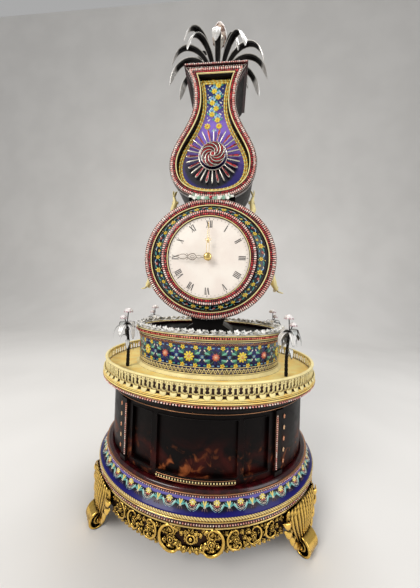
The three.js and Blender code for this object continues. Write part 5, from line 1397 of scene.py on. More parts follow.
def tub_motif(pattern, u, pitch, kind):
    """A daisy or a rose among leaves, with rows of small yellow flowers above and below it."""
    middle = 24.4
    for hand in (-1, 1):
        x, ahead, behind = u + hand * pitch / 2, 0 if hand > 0 else np.pi, np.pi if hand > 0 else 0
        for rise in (8, -8):
            pattern.stem([(u, middle), (u + hand * 6, middle + rise), (u + hand * 12, middle + rise / 2),
                          (x, middle)], 0.6, LEAF_GREEN)
        for turn, length, tone in ((0.35, 8.5, ink(120, 196, 168)), (-0.35, 8.5, ink(120, 196, 168)),
                                   (1.05, 7.5, LEAF_GREEN), (-1.05, 7.5, LEAF_GREEN)):
            pattern.leaf((u + hand * 7.4, middle + 3.0 * np.sign(turn)), length, 3.4,
                         turn if hand > 0 else np.pi - turn, tone)
        for v in (12.6, 36.6):
            pattern.flower((u + hand * pitch / 4, v), 3.3, 5, YELLOW, ORANGE, 0.3 * v)
            pattern.leaf((u + hand * (pitch / 4 - 3), v), 4.4, 2.0, behind, SKY)
            pattern.leaf((u + hand * (pitch / 4 + 3), v), 4.4, 2.0, ahead, TEAL)
        for v in (middle + 6.4, middle - 6.4):
            pattern.leaf((u + hand * 14.0, v), 4.2, 1.9, TURN / 4 - hand * 0.6, CREAM)
    pattern.flower((u + pitch / 2, middle), 2.6, 8, SKY, YELLOW)
    if kind:
        pattern.flower((u, middle), 7.4, 9, YELLOW, ORANGE, height=0.8, raised=0.2)
        pattern.flower((u, middle), 4.2, 8, PALE_YELLOW, ink(240, 190, 60), height=1.1, raised=0.3)
    else:
        pattern.flower((u, middle), 5.6, 9, ink(196, 84, 66), CORAL, height=0.6, raised=0.1)
        pattern.dot((u, middle), 3.9, 14, 1.2, ink(232, 140, 106), 0.2)
        pattern.dot((u, middle), 2.0, 10, 1.2, ink(246, 196, 160), 0.9)


def tub_rim():
    """A gilt moulding on the tub with dark red seats and a row of stones, a dark red lining on its inner wall
    as painted shade, and the pond's glass inside it.
    """
    profile = [(112.2, 270.0), (121.0, 269.8), (122.4, 270.4), (124.0, 270.8), (124.6, 271.4), (124.6, 271.9),
               (125.0, 272.2), (125.0, 276.6), (126.0, 276.9), (126.6, 277.5), (126.0, 278.1), (114.0, 278.0),
               (112.2, 277.4)]
    one_piece("rim_moulding", PALE_GILT, "pale_gilt", oval_turn(profile, TUB_OVAL), ["tub_rim"])
    seats = Work()
    # The third ring is no seat: it lines the rim's inner wall in dark red as painted shade.
    for ring in ((120.0, 125.1, 272.5, 276.4), (120.0, 124.5, 270.95, 271.35), (111.7, 112.1, 272.5, 277.3)):
        seats.add(oval_turn(flat_ring(*ring), TUB_OVAL))
    seats.make("rim_seats_and_shade_liner", OXBLOOD, "dark_lacquer")
    stone_row("rim_stones", CORAL_PASTE, oval_loop(125.4, TUB_OVAL), level, 274.4, 200, (1.15, 1.5, 1.2))
    pool = [(0.3, 268.0), (111.6, 268.0), (111.6, 271.9), (111.0, 272.4), (0.3, 272.4)]
    one_piece("pond_glass", POND, "pond_mirror", oval_turn(pool, TUB_OVAL), ["pond_mirror"])


def bent_leaf(length, width, thickness, curl=0.0, steps=6, columns=5):
    """A closed leaf along x: half width sin(pi t), it droops by curl t^2, and its midrib is raised."""
    t = np.linspace(0.0, 1.0, steps + 1)
    fullness = np.sin(np.pi * (0.06 + 0.9 * t)) ** 0.8
    half = width / 2 * fullness
    u = np.linspace(-1, 1, columns)
    x = length * t[:, None] + 0 * u[None]
    y = half[:, None] * u[None]
    lift = -curl * t[:, None] ** 2 + 0.125 * width * (1 - np.abs(u[None])) * fullness[:, None]
    top = np.stack([x, y, lift + thickness / 2], -1)
    low = np.stack([x, y, lift - thickness / 2], -1)
    return loft(np.concatenate([top, low[:, ::-1]], 1))


def joined(*shapes):
    """Several closed shapes as one set of corners and faces."""
    work = Work()
    for shape in shapes:
        work.add(shape)
    return np.vstack(work.corners), np.vstack(work.quads), np.vstack(work.tris)


def turned(shape, angle, shift=(0, 0, 0), lean=0.0):
    """A shape tipped up by its lean about y, turned about z and moved."""
    corners, quads, tris = shape
    c, s = np.cos(lean), np.sin(lean)
    tipped = corners @ np.array([[c, 0, s], [0, 1, 0], [-s, 0, c]])
    c, s = np.cos(angle), np.sin(angle)
    return tipped @ np.array([[c, s, 0], [-s, c, 0], [0, 0, 1]]) + np.asarray(shift, float), quads, tris


def blossom(radius):
    """Five petals tipped up round a bead."""
    petal = bent_leaf(radius, 0.85 * radius, 0.12 * radius, steps=3, columns=3)
    around = [turned(petal, k * TURN / 5, lean=0.5) for k in range(5)]
    heart = stacked(disc_outline(0.3 * radius, 6), [(1, 0), (0.9, 0.25 * radius), (0.3, 0.4 * radius)])
    return joined(*around, heart)


def tendril(radius, width):
    """A thin wire that rises and curls in on itself."""
    t = np.linspace(0, 1, 16)
    angle = TURN * 1.2 * t
    r = radius * (1 - 0.8 * t)
    rise = 0.5 + r * np.sin(angle) + 0.9 * radius
    path = np.stack([radius - r * np.cos(angle), np.zeros_like(t), rise], -1)
    return sweep(np.vstack([[[0, 0, -0.4]], path]), ring_section(width, width, 5), (0, 1, 0))


def square_on(ways, along):
    """The ways with what they share with another set taken off, at length one."""
    return unit(ways - np.einsum("ij,ij->i", ways, along)[:, None] * along)


def wreath():
    """Leaves, blossoms and curled wires on a bed along the tub's rim."""
    loop, dice = oval_loop(119.6, TUB_OVAL), np.random.default_rng(7)
    bed = [(115.6, 278.6), (123.6, 278.6), (122.6, 279.6), (119.6, 280.2), (116.6, 279.6)]
    work = Work().add(oval_turn(bed, TUB_OVAL, 240))
    leaf, flower, wire = bent_leaf(1.0, 0.5, 0.09, 0.12, steps=5, columns=3), blossom(1.0), tendril(1.0, 0.3)
    leaves, flowers, wires = 176, 66, 52
    places, along, out = stations(loop, leaves)
    spin = dice.uniform(-1.1, 1.1, leaves) + np.where(np.arange(leaves) % 2, 0.7, np.pi - 0.7)
    c, s = np.cos(spin)[:, None], np.sin(spin)[:, None]
    ways = unit(level(unit(along * c + out * s), 0) + [0, 0, 0.8])
    size = dice.uniform(7.4, 10.6, (leaves, 1)) * [1, 1.5, 1]
    tones = [ink(252, 250, 244), ink(150, 152, 148), ink(250, 248, 244), ink(244, 242, 238)]
    work.strew(leaf, level(places, 279.6), ways, square_on(level(0.35 * out, 1.0), ways), size, tones, 5)
    places, along, out = stations(loop, flowers, 0.5)
    size = dice.uniform(3.6, 5.4, (flowers, 1)) * [1, 1, 1.3]
    work.strew(flower, level(places + 1.6 * out, 281.4), level(along, 0), unit(level(out, 1.0)), size,
               [ink(252, 250, 246), ink(240, 240, 236)], 6)
    places, along, out = stations(loop, wires, 0.25)
    hand = np.where(np.arange(wires) % 2, 1.0, -1.0)[:, None]
    work.strew(wire, level(places, 280.2), level(along * hand, 0), level(-out * hand, 0), (2.5, 2.5, 2.5),
               [ink(230, 228, 220)], 8)
    work.make("wreath_leaves", WHITE_LEAF, "silver", replaces=["tub_wreath"])


# Palms

def palm(name, side_x, side_y):
    """A scaled trunk that leans out, spreading ribbed fronds, and two umbrella flowers over them."""
    ground = np.array([side_x * 119.2, side_y * 60.5, 219.0])
    away = unit(np.array([ground[0], ground[1], 0.0]))
    crown_at = ground + 3 * away + [0, 0, 65]
    line = smooth_path([ground, (ground + crown_at) / 2 - 1.5 * away, crown_at], 44)
    ripple = 1 + 0.16 * (np.arange(44) % 4) / 3
    trunk = sweep(line, ring_section(4.4, 4.4, 10), away, np.linspace(1.1, 0.72, 44) * ripple)
    stems, work, start = Work().add(trunk), Work(), np.arctan2(ground[1], ground[0])
    dice = np.random.default_rng(int(10 + 2 * side_x + side_y))
    for tier, (count, reach, drop, height) in enumerate(((6, 18.5, 15.0, 0.0), (4, 13.0, 5.0, 3.0))):
        for k in range(count):
            frond = ribbed_frond(reach * dice.uniform(0.85, 1.12), 9.6, drop * dice.uniform(0.7, 1.25))
            angle = start + (k + 0.5 * tier) * TURN / count
            shade = ink(252, 250, 246) if k % 3 else ink(196, 198, 194)
            work.add(turned(frond, angle, crown_at + [0, 0, height - 3.0]), frond_tint(shade))
    petal = bent_leaf(7.0, 6.4, 1.0, 4.2, steps=5, columns=5)
    knob = round_turn(((0.5, -1.4), (1.6, 0), (1.3, 1.2), (0.4, 1.9)), 8)
    for shift, rise, size in ((1.5, 86.5, 1.0), (8.0, 76.0, 0.8)):
        top = ground + shift * away + [0, 0, rise]
        stems.add(sweep(smooth_path([crown_at - [0, 0, 1], top], 8), ring_section(1.5, 1.5, 6), away))
        small = (size * petal[0], petal[1], petal[2])
        for k in range(8):
            work.add(turned(small, start + k * TURN / 8, top + [0, 0, 1.8]), ink(250, 244, 242))
            work.add(turned(small, start + (k + 0.5) * TURN / 8, top + [0, 0, 0.4]), ink(214, 180, 186))
        work.add(turned(knob, 0, top + [0, 0, 1.2]), ink(250, 244, 240))
    stems.make(f"{name}_trunk", DARK_BRONZE, "dark_bronze", replaces=[name])
    for rise, angle, reach in ((32, 0.6, 9), (46, 3.6, 11), (38, 5.1, 10), (56, 5.8, 12), (54, 2.2, 11)):
        place = ground + 1.5 * away * rise / 52 + [0, 0, rise]
        work.add(turned(ribbed_frond(reach, 6.4, 0.9 * reach), angle, place), frond_tint(ink(244, 244, 238)))
    work.make(f"{name}_fronds", WHITE_LEAF, "silver")


def frond_tint(shade):
    """Tints of a ribbed frond: pale above, with painted shade as grey ribs and edges and as a dark underside.
    """
    # Painted shade: ribs and edges are grey, and the whole underside is dark.
    above = [0.2, 1.0, 0.9, 0.55, 1.0, 0.55, 0.9, 1.0, 0.2]
    ring = np.array(above + [0.12] * 9)[:, None] * np.asarray(shade)[None]
    ring[:, 3] = 1.0
    return np.vstack([np.tile(ring, (FROND_ROWS, 1)), ring[:1], ring[:1]])


def ribbed_frond(reach, width, drop):
    """A drooping blade with fine ribs: it rises a little and falls by drop, its surface ripples across."""
    t = np.linspace(0, 1, FROND_ROWS)
    u = np.linspace(-1, 1, 9)
    half = width / 2 * np.sin(np.pi * (0.1 + 0.86 * t)) ** 0.7
    x = reach * np.sin(t * np.pi / 2)
    z = 4.5 * np.sin(np.pi * t) - drop * t**2
    ribs = 0.22 * np.cos(4 * np.pi * u)
    fold = -0.5 * u**2
    top = np.stack([x[:, None] + 0 * u[None], half[:, None] * u[None],
                    z[:, None] + ribs[None] + fold[None] + 0.3], -1)
    low = top[:, ::-1] - [0, 0, 0.6]
    return loft(np.concatenate([top, low], 1))


# Drum and dial

class DrumWrap:
    """Bends a flat pattern round the dial: u clockwise from the top, v outwards, w towards the viewer."""

    def __init__(self, middle, front):
        self.middle, self.front = middle, front

    def girth(self):
        """The length of one turn."""
        return TURN * self.middle

    def __call__(self, flat):
        u, v, w = flat.T
        angle, radius = u / self.middle, self.middle + v
        height = DRUM_Z + drum_height(radius) * np.cos(angle)
        return np.column_stack([radius * np.sin(angle), self.front(radius) - w, height])


def dial_stones(name, finish, radius, y, count, size, shape=GEM, slot="red_paste"):
    """A row of stones round the dial."""
    stone_row(name, finish, drum_loop(radius)[::-1], upright, y, count, size, shape, slot)


def drum_border():
    """Radial ridges of pale stones over red ones on a dark red ring, a bright line inside, a milled edge."""
    seat = [(91.3, -38.2), (91.3, -47.4), (93.2, -47.9), (97.6, -48.2), (102.4, -47.9), (103.4, -47.2),
            (103.4, -38.2)]
    one_piece("border_ring", OXBLOOD, "silver", drum_turn(seat), ["drum_border"])
    dial_stones("border_pale_stones", PALE_PASTE_AND_GLINTS, 99.8, -48.5, 184, (1.0, 2.7, 1.4))
    dial_stones("border_red_stones", PASTE, 95.0, -48.5, 184, (1.0, 1.8, 1.2))
    dial_stones("border_beads", SILVER, 102.9, -47.8, 250, (1.0, 0.6, 1.2), BEAD, "silver")
    line = [(91.2, -47.6), (91.3, -49.2), (92.1, -49.9), (93.0, -49.3), (93.2, -47.7)]
    one_piece("border_line", PALE_GILT, "pale_gilt", drum_turn(line))


def band_front(radius):
    """The band's front falls from the bezel to the border, with a slight swell between."""
    share = np.clip((np.asarray(radius, float) - 72.3) / (90.9 - 72.3), 0, 1)
    return -57.0 + 9.0 * share - 1.4 * np.sin(np.pi * share)


def drum_band():
    """Night blue enamel round the dial, with a wreath of flowers laid on its inner part."""
    radii = np.linspace(72.4, 90.8, 12)
    profile = [(72.4, -52.0), *zip(radii, band_front(radii)), (90.8, -44.0)]
    one_piece("band_ground", NIGHT_ENAMEL, "blue_enamel", drum_turn(profile), ["enamel_band"])
    wrap = DrumWrap(80.0, band_front)
    pattern, units = Pattern(), 24
    pitch = wrap.girth() / units
    for k in range(units):
        band_motif(pattern, k * pitch, pitch, k % 2)
    pattern.piece("band_flowers", ENAMEL_PAINT, wrap, "blue_enamel")


def band_motif(pattern, u, pitch, kind):
    """A flower with pale and teal leaves, and smaller ones between it and the next."""
    petal, heart = (ink(250, 222, 90), ORANGE) if kind else (YELLOW, CORAL)
    v, radius, other_v, other_petal = (0.6, 4.3, 1.8, CORAL) if kind else (-0.8, 3.3, -2.2, YELLOW)
    other = u + pitch / 2
    for turn, tone in ((0.6, TEAL), (np.pi - 0.6, SKY), (-0.6, LEAF_GREEN), (np.pi + 0.6, TEAL)):
        pattern.leaf((u + 2.6 * np.cos(turn), 2.8 * np.sin(turn)), 5.6, 2.0, turn, tone)
    for low, turn, tone in ((3.6, 0.3, CREAM), (-3.8, np.pi - 0.3, SKY), (4.6, np.pi + 0.2, TEAL)):
        pattern.leaf((other, low), 4.2, 1.6, turn, tone)
    pattern.flower((u, v), radius, 6, petal, heart, turn=0.3, height=0.8, raised=0.2)
    pattern.flower((other, other_v), 2.2, 5, other_petal, CREAM, height=0.7)
    for edge in (-5.4, 5.8):
        pattern.dot((u + 1.5, edge), 0.8, 7, 0.6, PALE_YELLOW)


def bezel():
    """A ring with an outer row of pale stones and an inner row of red ones, and a fine line at the dial."""
    profile = [(61.9, -56.2), (61.9, -62.0), (66.9, -61.9), (70.9, -61.2), (71.9, -60.7), (71.8, -56.2)]
    one_piece("bezel_ring", OXBLOOD, "gilt", drum_turn(profile, 240), ["dial_bezel"])
    dial_stones("bezel_pale_stones", PALE_PASTE_AND_GLINTS, 69.7, -61.9, 136, (1.1, 1.9, 1.2))
    dial_stones("bezel_red_stones", PASTE, 65.4, -62.3, 128, (1.2, 1.9, 1.2))
    line = [(61.9, -61.8), (61.9, -62.6), (62.4, -63.0), (63.0, -62.6), (63.2, -61.8)]
    one_piece("bezel_line", PALE_GILT, "pale_gilt", drum_turn(line, 240))


def bar(start, stop, width):
    """A flat stroke from one point to the next."""
    start, stop = np.asarray(start, float), np.asarray(stop, float)
    along = unit(stop - start)
    side = width / 2 * np.array([-along[1], along[0]])
    return np.array([start - side, stop - side, stop + side, start + side])


def numeral_strokes(text, height):
    """The strokes of a Roman numeral as lines with widths, and how wide it is."""
    strokes, x, foot_line, top = [], 0.0, 0.2, height - 0.2
    for letter in text:
        if letter == "I":
            strokes += [((x + 0.8, 0), (x + 0.8, height), 1.15), ((x, foot_line), (x + 1.6, foot_line), 0.4),
                        ((x, top), (x + 1.6, top), 0.4)]
            x += 2.3
        elif letter == "V":
            strokes += [((x + 0.7, height), (x + 2.6, 0), 1.2), ((x + 4.6, height), (x + 2.8, 0), 0.45),
                        ((x, top), (x + 1.6, top), 0.4), ((x + 3.8, top), (x + 5.4, top), 0.4)]
            x += 5.6
        else:
            strokes += [((x + 0.6, height), (x + 4.4, 0), 1.2), ((x + 4.2, height), (x + 0.8, 0), 0.45)]
            strokes += [((x + side, v), (x + side + 1.6, v), 0.4)
                        for side in (0, 3.4) for v in (foot_line, top)]
            x += 5.6
    return strokes, x - 0.6


def dial_marks():
    """Radial Roman numerals and a track of minute strokes, wider and longer at each hour."""
    pattern, front = Pattern(), -60.02
    names = ("XII", "I", "II", "III", "IIII", "V", "VI", "VII", "VIII", "IX", "X", "XI")
    for hour, text in enumerate(names):
        strokes, width = numeral_strokes(text, 10.4)
        angle = -hour * TURN / 12
        place = 45.4 * np.array([-np.sin(angle), np.cos(angle)])
        for start, stop, thick in strokes:
            flat = bar((start[0] - width / 2, start[1]), (stop[0] - width / 2, stop[1]), thick)
            pattern.lay(dome(flat, 0.16, 0.1), place, angle)
    for minute in range(60):
        length, width = (2.4, 0.7) if minute % 5 == 0 else (1.6, 0.35)
        stroke = bar((0, 57.2), (0, 57.2 + length), width)
        pattern.lay(dome(stroke, 0.14, 0.1), turn=-minute * TURN / 60)
    pattern.piece("dial_figures", FIGURES, Face(0, DRUM_Z, front), "dark_bronze")


class Face:
    """Lays a flat pattern upright: u to the right, v up and w towards the viewer, turned about a middle."""

    def __init__(self, x, z, y, turn=0.0):
        self.x, self.z, self.y, self.turn = x, z, y, turn

    def __call__(self, flat):
        c, s = np.cos(self.turn), np.sin(self.turn)
        u = c * flat[:, 0] - s * flat[:, 1]
        v = s * flat[:, 0] + c * flat[:, 1]
        return np.column_stack([self.x + u, self.y - flat[:, 2], self.z + v])


def flat_wire(pattern, points, widths, count=24):
    """A rounded strip along a smooth line, with its widths from start to end."""
    pattern.strand(points, count, ring_section(1, 0.7, 8), widths)


def ring_shape(outer, inner, height):
    """A flat ring with eased edges."""
    rings = [(outer, -height / 2), (outer, height / 3), (outer - 0.2, height / 2), (inner + 0.2, height / 2),
             (inner, height / 3), (inner, -height / 2)]
    return round_turn(rings, 28, True)


def blade(outline, height):
    """A flat piece with a bevelled top on an outline given from its right side round to its left."""
    return stacked(np.asarray(outline, float), [(1, -height / 2), (1, 0.1 * height), (0.82, height / 2)])


def hour_hand():
    """A pierced hand: a hub, a waisted stem of two strips, then two open leaves one beyond the other."""
    pattern = Pattern()
    pattern.lay(ring_shape(4.6, 2.6, 1.1))
    wires = (
        ([(2.4, 3.6), (1.0, 9), (2.0, 14), (0.5, 18)], [1.3, 1.0, 1.1, 1.0], 24),
        ([(0.5, 17), (4.4, 21), (3.6, 27), (0.4, 31)], [1.1, 1.5, 1.4, 1.1], 24),
        ([(0.4, 20), (1.9, 23.4), (0.2, 27)], [0.8, 0.9, 0.7], 24),
        ([(0.5, 31), (3.4, 35), (3.0, 41), (1.0, 45), (0.1, 50)], [1.1, 1.3, 1.2, 1.0, 0.7], 30),
        ([(1.0, 30), (3.6, 30.6), (4.6, 32.6)], [1.1, 1.0, 0.6], 12))
    for hand in (-1, 1):
        for line, widths, count in wires:
            flat_wire(pattern, np.array(line) * [hand, 1], widths, count)
    pattern.piece("hour_hand_work", STEEL, Face(0, DRUM_Z, -65.4, TURN / 4), "silver", "hour_works",
                  replaces=["hour_hand"])


def minute_hand():
    """A slim open hand: two fine strips that meet at the tip, with a small cross, on a gilt hub."""
    pattern, boss = Pattern(), Pattern()
    pattern.lay(ring_shape(3.8, 1.4, 1.1))
    for hand in (-1, 1):
        way = [hand, 1]
        flat_wire(pattern, way * np.array([(2.0, 3), (1.9, 14), (1.35, 30), (0.5, 44), (0, 51.6)]),
                  [1.0, 0.95, 0.85, 0.75, 0.7], count=30)
        flat_wire(pattern, way * np.array([(0, 22), (3.4, 23.4), (3.9, 25.6), (2.2, 26.4)]),
                  [0.9, 0.9, 0.8, 0.6], count=14)
    pattern.lay(blade([(0.8, 20), (1.0, 24), (0.4, 28), (-0.4, 28), (-1.0, 24), (-0.8, 20)], 1.1))
    pattern.piece("minute_hand_work", BRIGHT_GILT, Face(0, DRUM_Z, -70.0), "gilt", "minute_works",
                  replaces=["minute_hand"])
    boss.lay(round_turn([(5.6, 0.0), (6.0, 0.5), (5.4, 1.6), (3.6, 2.5), (2.6, 2.7)], 24))
    boss.piece("hand_boss", BRIGHT_GILT, Face(0, DRUM_Z, -69.2), "gilt", "minute_works")


def side_scrolls():
    """The drum's flared scrolls and the shoulder scrolls: tapered tubes with a leaf tip, a curl and a pad."""
    leaf = bent_leaf(11.0, 7.5, 1.4, 3.0, steps=8, columns=7)
    shapes = (("drum", DRUM_Z, -8.0, ((4.4, 14), (6.8, 0), (4.8, -18), (7.0, -32), (13.0, -45)), 100.0,
               (0.6, 1.2, 1.7, 2.5, 1.4), ((1.4, 0), (-1.0, 3), (-0.6, 4)), (98.5, 108.0, -6.0)),
              ("shoulder", LOBE_Z, -16.0, ((64, -17), (68, -7), (65.5, 5), (67.5, 15)), 0.0,
               (1.5, 2.3, 1.6, 1.1), ((1.7, 3), (1.1, 1), (1.2, 3)), (60.0, 70.0, 6.0)))
    for hand, side in ((1, "right"), (-1, "left")):
        for kind, level_z, y, line, shift, widths, leaves, (inner, outer, rise) in shapes:
            work = Work()
            points = [np.array([hand * (shift + x), y, level_z + up]) for x, up in line]
            scale = np.interp(np.linspace(0, 1, 40), np.linspace(0, 1, len(widths)), widths)
            work.add(sweep(smooth_path(points, 40), ring_section(4.4, 6.6, 12), (1, 0, 0), scale))
            curl(work, points[-1] if kind == "drum" else points[0], hand, 3.2, 3.0)
            for lean, at in leaves:
                work.add(leaned(leaf, hand, lean, points[at]))
            pad = [np.array([hand * x, y, level_z + rise]) for x in (inner, outer)]
            work.add(sweep(pad, ring_section(5.0, 5.0, 12), (0, 1, 0)))
            name = f"{kind}_scroll_{side}"
            work.make(f"{name}_work", PALE_GILT, "gilt", replaces=[name])


def leaned(shape, hand, lean, at):
    """A leaf along x tipped up by an angle, to the right or mirrored to the left, and moved."""
    corners, quads, tris = shape
    c, s = np.cos(lean), np.sin(lean)
    flat = np.column_stack([hand * (corners[:, 0] * c + corners[:, 2] * s), corners[:, 1],
                            corners[:, 0] * s - corners[:, 2] * c])
    return outward(flat + at, quads, tris)


def straight_row(half, count, y, z):
    """Places on a level line from left to right across the front."""
    return np.column_stack([np.linspace(-half, half, count), np.full(count, y), np.full(count, z)])


def crown():
    """A cluster of pale leaves and blossoms with a jewel between the bottle and the dial drum."""
    leaf, flower = bent_leaf(1.0, 0.5, 0.12, 0.1, steps=5, columns=3), blossom(1.0)
    work, count = Work(), 34
    x = np.linspace(-30, 30, count)
    lean = np.where(np.arange(count) % 2, 0.9, -0.9) + x / 40
    ways = np.column_stack([np.sin(lean), np.zeros(count), np.cos(lean)])
    places = np.column_stack([x, np.full(count, -49.8), 481.0 + 0.006 * x**2])
    work.strew(leaf, places, ways, VIEWER, (5.6, 7.6, 7.0),
               [ink(244, 244, 236), ink(150, 176, 150), ink(232, 234, 222)], 9)
    work.strew(flower, straight_row(26, 9, -50.8, 482.4), [1, 0, 0], VIEWER, (3.2, 3.2, 3.2),
               [ink(246, 244, 236), ink(150, 196, 170)], 4)
    work.make("junction_crown", WHITE_LEAF, "silver")
    jewel = scatter(GEM, np.array([[0, -51.4, 483.0]]), [1, 0, 0], VIEWER, (2.6, 3.0, 2.0))
    one_piece("junction_jewel", PASTE, "red_paste", jewel)


def curl(work, end, hand, radius, width):
    """A flat spiral at the end of a scroll."""
    t = np.linspace(0, 1, 26)
    angle = 0.2 + 1.3 * TURN * t
    r = radius * (1 - 0.75 * t)
    path = np.array(end) + np.stack([hand * (r * np.cos(angle) - radius), 0 * t, r * np.sin(angle)], -1)
    work.add(sweep(path, ring_section(width, 1.9, 8), (0, 1, 0), np.linspace(1, 0.6, 26)))


# Upper lobe

def lobe_ring(profile):
    """Each pair of inset and y runs round the bottle's outline."""
    return loft([upright(lobe_loop(inset), y) for inset, y in profile], True)


def lobe_border():
    """A border with two rows of stones round the bottle, a pale inner line and a dark recess behind it."""
    seat = [(0.2, -34.0), (0.2, -45.4), (1.2, -45.9), (10.6, -45.9), (11.8, -45.4), (12.0, -34.0)]
    one_piece("lobe_border_ring", OXBLOOD, "silver", lobe_ring(seat), ["lobe_border"])
    for name, finish, inset, y, count, size, shape, slot in (
            ("lobe_pale_stones", PALE_PASTE_AND_GLINTS, 4.2, -46.2, 190, (1.05, 2.1, 1.3), GEM, "red_paste"),
            ("lobe_red_stones", PASTE, 8.3, -46.2, 180, (1.1, 1.6, 1.1), GEM, "red_paste"),
            ("lobe_beads", SILVER, 1.1, -46.1, 250, (0.95, 0.6, 0.9), BEAD, "silver")):
        stone_row(name, finish, lobe_loop(inset), upright, y, count, size, shape, slot)
    recess = [(12.05, -45.0), (12.7, -45.0), (12.8, -35.4), (12.05, -35.4)]
    one_piece("lobe_recess", DARK_LACQUER, "dark_lacquer", lobe_ring(recess))
    line = [(10.6, -45.8), (10.7, -47.3), (11.3, -47.7), (12.0, -47.3), (12.2, -46.0), (11.6, -45.5)]
    one_piece("lobe_line", PALE_GILT, "pale_gilt", lobe_ring(line))


def lobe_panel():
    """The bottle's back panel in violet and blue, an edging of gilt braid, and flowers up the neck."""
    finished_copy("lobe_panel", violet_enamel())
    braid, flowers = Work(), Pattern()
    tones = [ink(255, 244, 150), ink(246, 196, 62)]
    for inset, hand in ((15.0, 1), (18.0, -1)):
        places, along, out = stations(lobe_loop(inset), 150, 0.25 * hand)
        lean = unit(upright(along, 0) + hand * 0.7 * upright(out, 0))
        braid.strew(DROP, upright(places, -36.0), lean, VIEWER, (2.4, 1.9, 1.6), tones, 4)
    braid.make("lobe_braid", BRAID_GILT, "gilt")
    neck_flowers(flowers)
    flowers.piece("lobe_flowers", ENAMEL_PAINT, Face(0, 0, -35.4), "blue_enamel")


def neck_flowers(pattern):
    """Flowers by turns left and right up the neck among pale and teal leaves, and a pair at its foot."""
    for k, z in enumerate(np.linspace(616, 682, 8)):
        x = 4.6 * (-1) ** k * (0.4 if k in (2, 5) else 1.0)
        for hand in (-1, 1):
            heading = 0.6 if hand > 0 else np.pi - 0.6
            for n, tone in enumerate((TEAL, ink(160, 220, 226), SKY)):
                place = (x + hand * 1.5, z + 3.0 * n - 2)
                pattern.leaf(place, 8.5 - n, 3.0, heading + hand * 0.5 * n, tone)
            pattern.leaf((-x + hand * 2.0, z + 2.0), 5.5, 2.4, -heading, CREAM)
            pattern.dot((hand * 12.0, z + 4.0), 0.9, 7, 0.7, CREAM)
        pattern.flower((x, z), 4.7, 7, YELLOW, ink(236, 180, 40), 0.3 * k, 0.9, 0.3)
    for hand in (-1, 1):
        pattern.flower((hand * 9.5 - 2.0, 606), 5.2, 8, YELLOW, ORANGE, height=0.9, raised=0.3)
        pattern.leaf((hand * 14, 604), 7.0, 2.6, TURN / 4 + hand * 1.2, TEAL)
        pattern.leaf((0, 602), 6.0, 2.2, -TURN / 4 + hand * 0.7, ink(150, 206, 214))


def mirrored(half):
    """A whole outline from its right side, run up it and back down its left."""
    half = np.asarray(half, float)
    return np.vstack([half, half[::-1] * [-1, 1]])


def ray_star():
    """Slim rods of silver and of red in silver frames by turns, on a narrow ring."""
    silver, red, rods = Pattern(), Pattern(), 28
    rod = mirrored([(0.5, 22), (1.0, 31), (1.1, 42), (0.5, 44.8)])
    outer = [(0.8, 22), (1.5, 31), (2.0, 39.6), (1.3, 43), (0, 44.6), (-1.3, 43), (-2.0, 39.6), (-1.5, 31),
             (-0.8, 22)]
    inner = mirrored([(0.5, 23), (1.1, 31), (1.6, 39.2), (0.8, 42.2)])
    for k in range(rods):
        turn = k * TURN / rods
        silver.lay(blade(outer, 1.2) if k % 2 else blade(rod, 2.0), turn=turn)
        if k % 2:
            red.lay(blade(inner, 1.2), turn=turn, raised=0.6)
    silver.lay(ring_shape(23.4, 21.9, 1.0))
    wrap = Face(0, STAR_Z, -40.2)
    silver.piece("star_frames", SILVER, wrap, "silver", "ray_star", replaces=["ray_star"])
    red.piece("star_stones", PASTE, wrap, "red_paste", "ray_star")


def pinwheel():
    """Curved arms of silver with red ones between them on a dark red disc, round a jewel."""
    silver, red, arms = Pattern(), Pattern(), 16
    disc = stacked(disc_outline(19.4, 40), [(0.97, -0.2), (1, 0.2), (0.97, 0.5)])
    red.lay(disc, tint=(0.16, 0.14, 0.14, 1.0))
    t = np.linspace(0, 1, 20)
    reach = 3.6 + 15.4 * t
    for k in range(arms):
        angle = k * TURN / arms + 2.0 * t
        line = np.stack([reach * np.cos(angle), reach * np.sin(angle)], -1)
        sheet, rise, widths = (red, 0.9, [0.6, 1.7, 1.2]) if k % 2 else (silver, 1.2, [0.6, 1.5, 1.1])
        width = np.interp(t, [0, 0.6, 1], widths)
        sheet.parts.append((sweep(level(line, rise), ring_section(1.0, 1.1, 8), (0, 0, 1), width), WHITE))
    silver.lay(ring_shape(4.2, 2.9, 2.4), raised=1.0)
    silver.lay(ring_shape(19.9, 19.2, 1.0), raised=0.3)
    red.lay(stacked(disc_outline(3.2, 16), [(1, 0), (1, 1.6), (0.72, 2.6), (0.3, 3.0)]))
    wrap = Face(0, STAR_Z, -44.6)
    silver.piece("pinwheel_arms", SILVER, wrap, "silver", "pinwheel", replaces=["pinwheel"])
    red.piece("pinwheel_stones", PASTE, wrap, "red_paste", "pinwheel")


def mouth_trim():
    """A row of pale stones along the mouth's front edge."""
    stones = scatter(BEAD, straight_row(48, 34, -48.9, 695.9), [1, 0, 0], VIEWER, (1.15, 1.1, 0.9))
    one_piece("mouth_stones", PALE_PASTE_AND_GLINTS, "red_paste", stones)


# Leaves and fruit

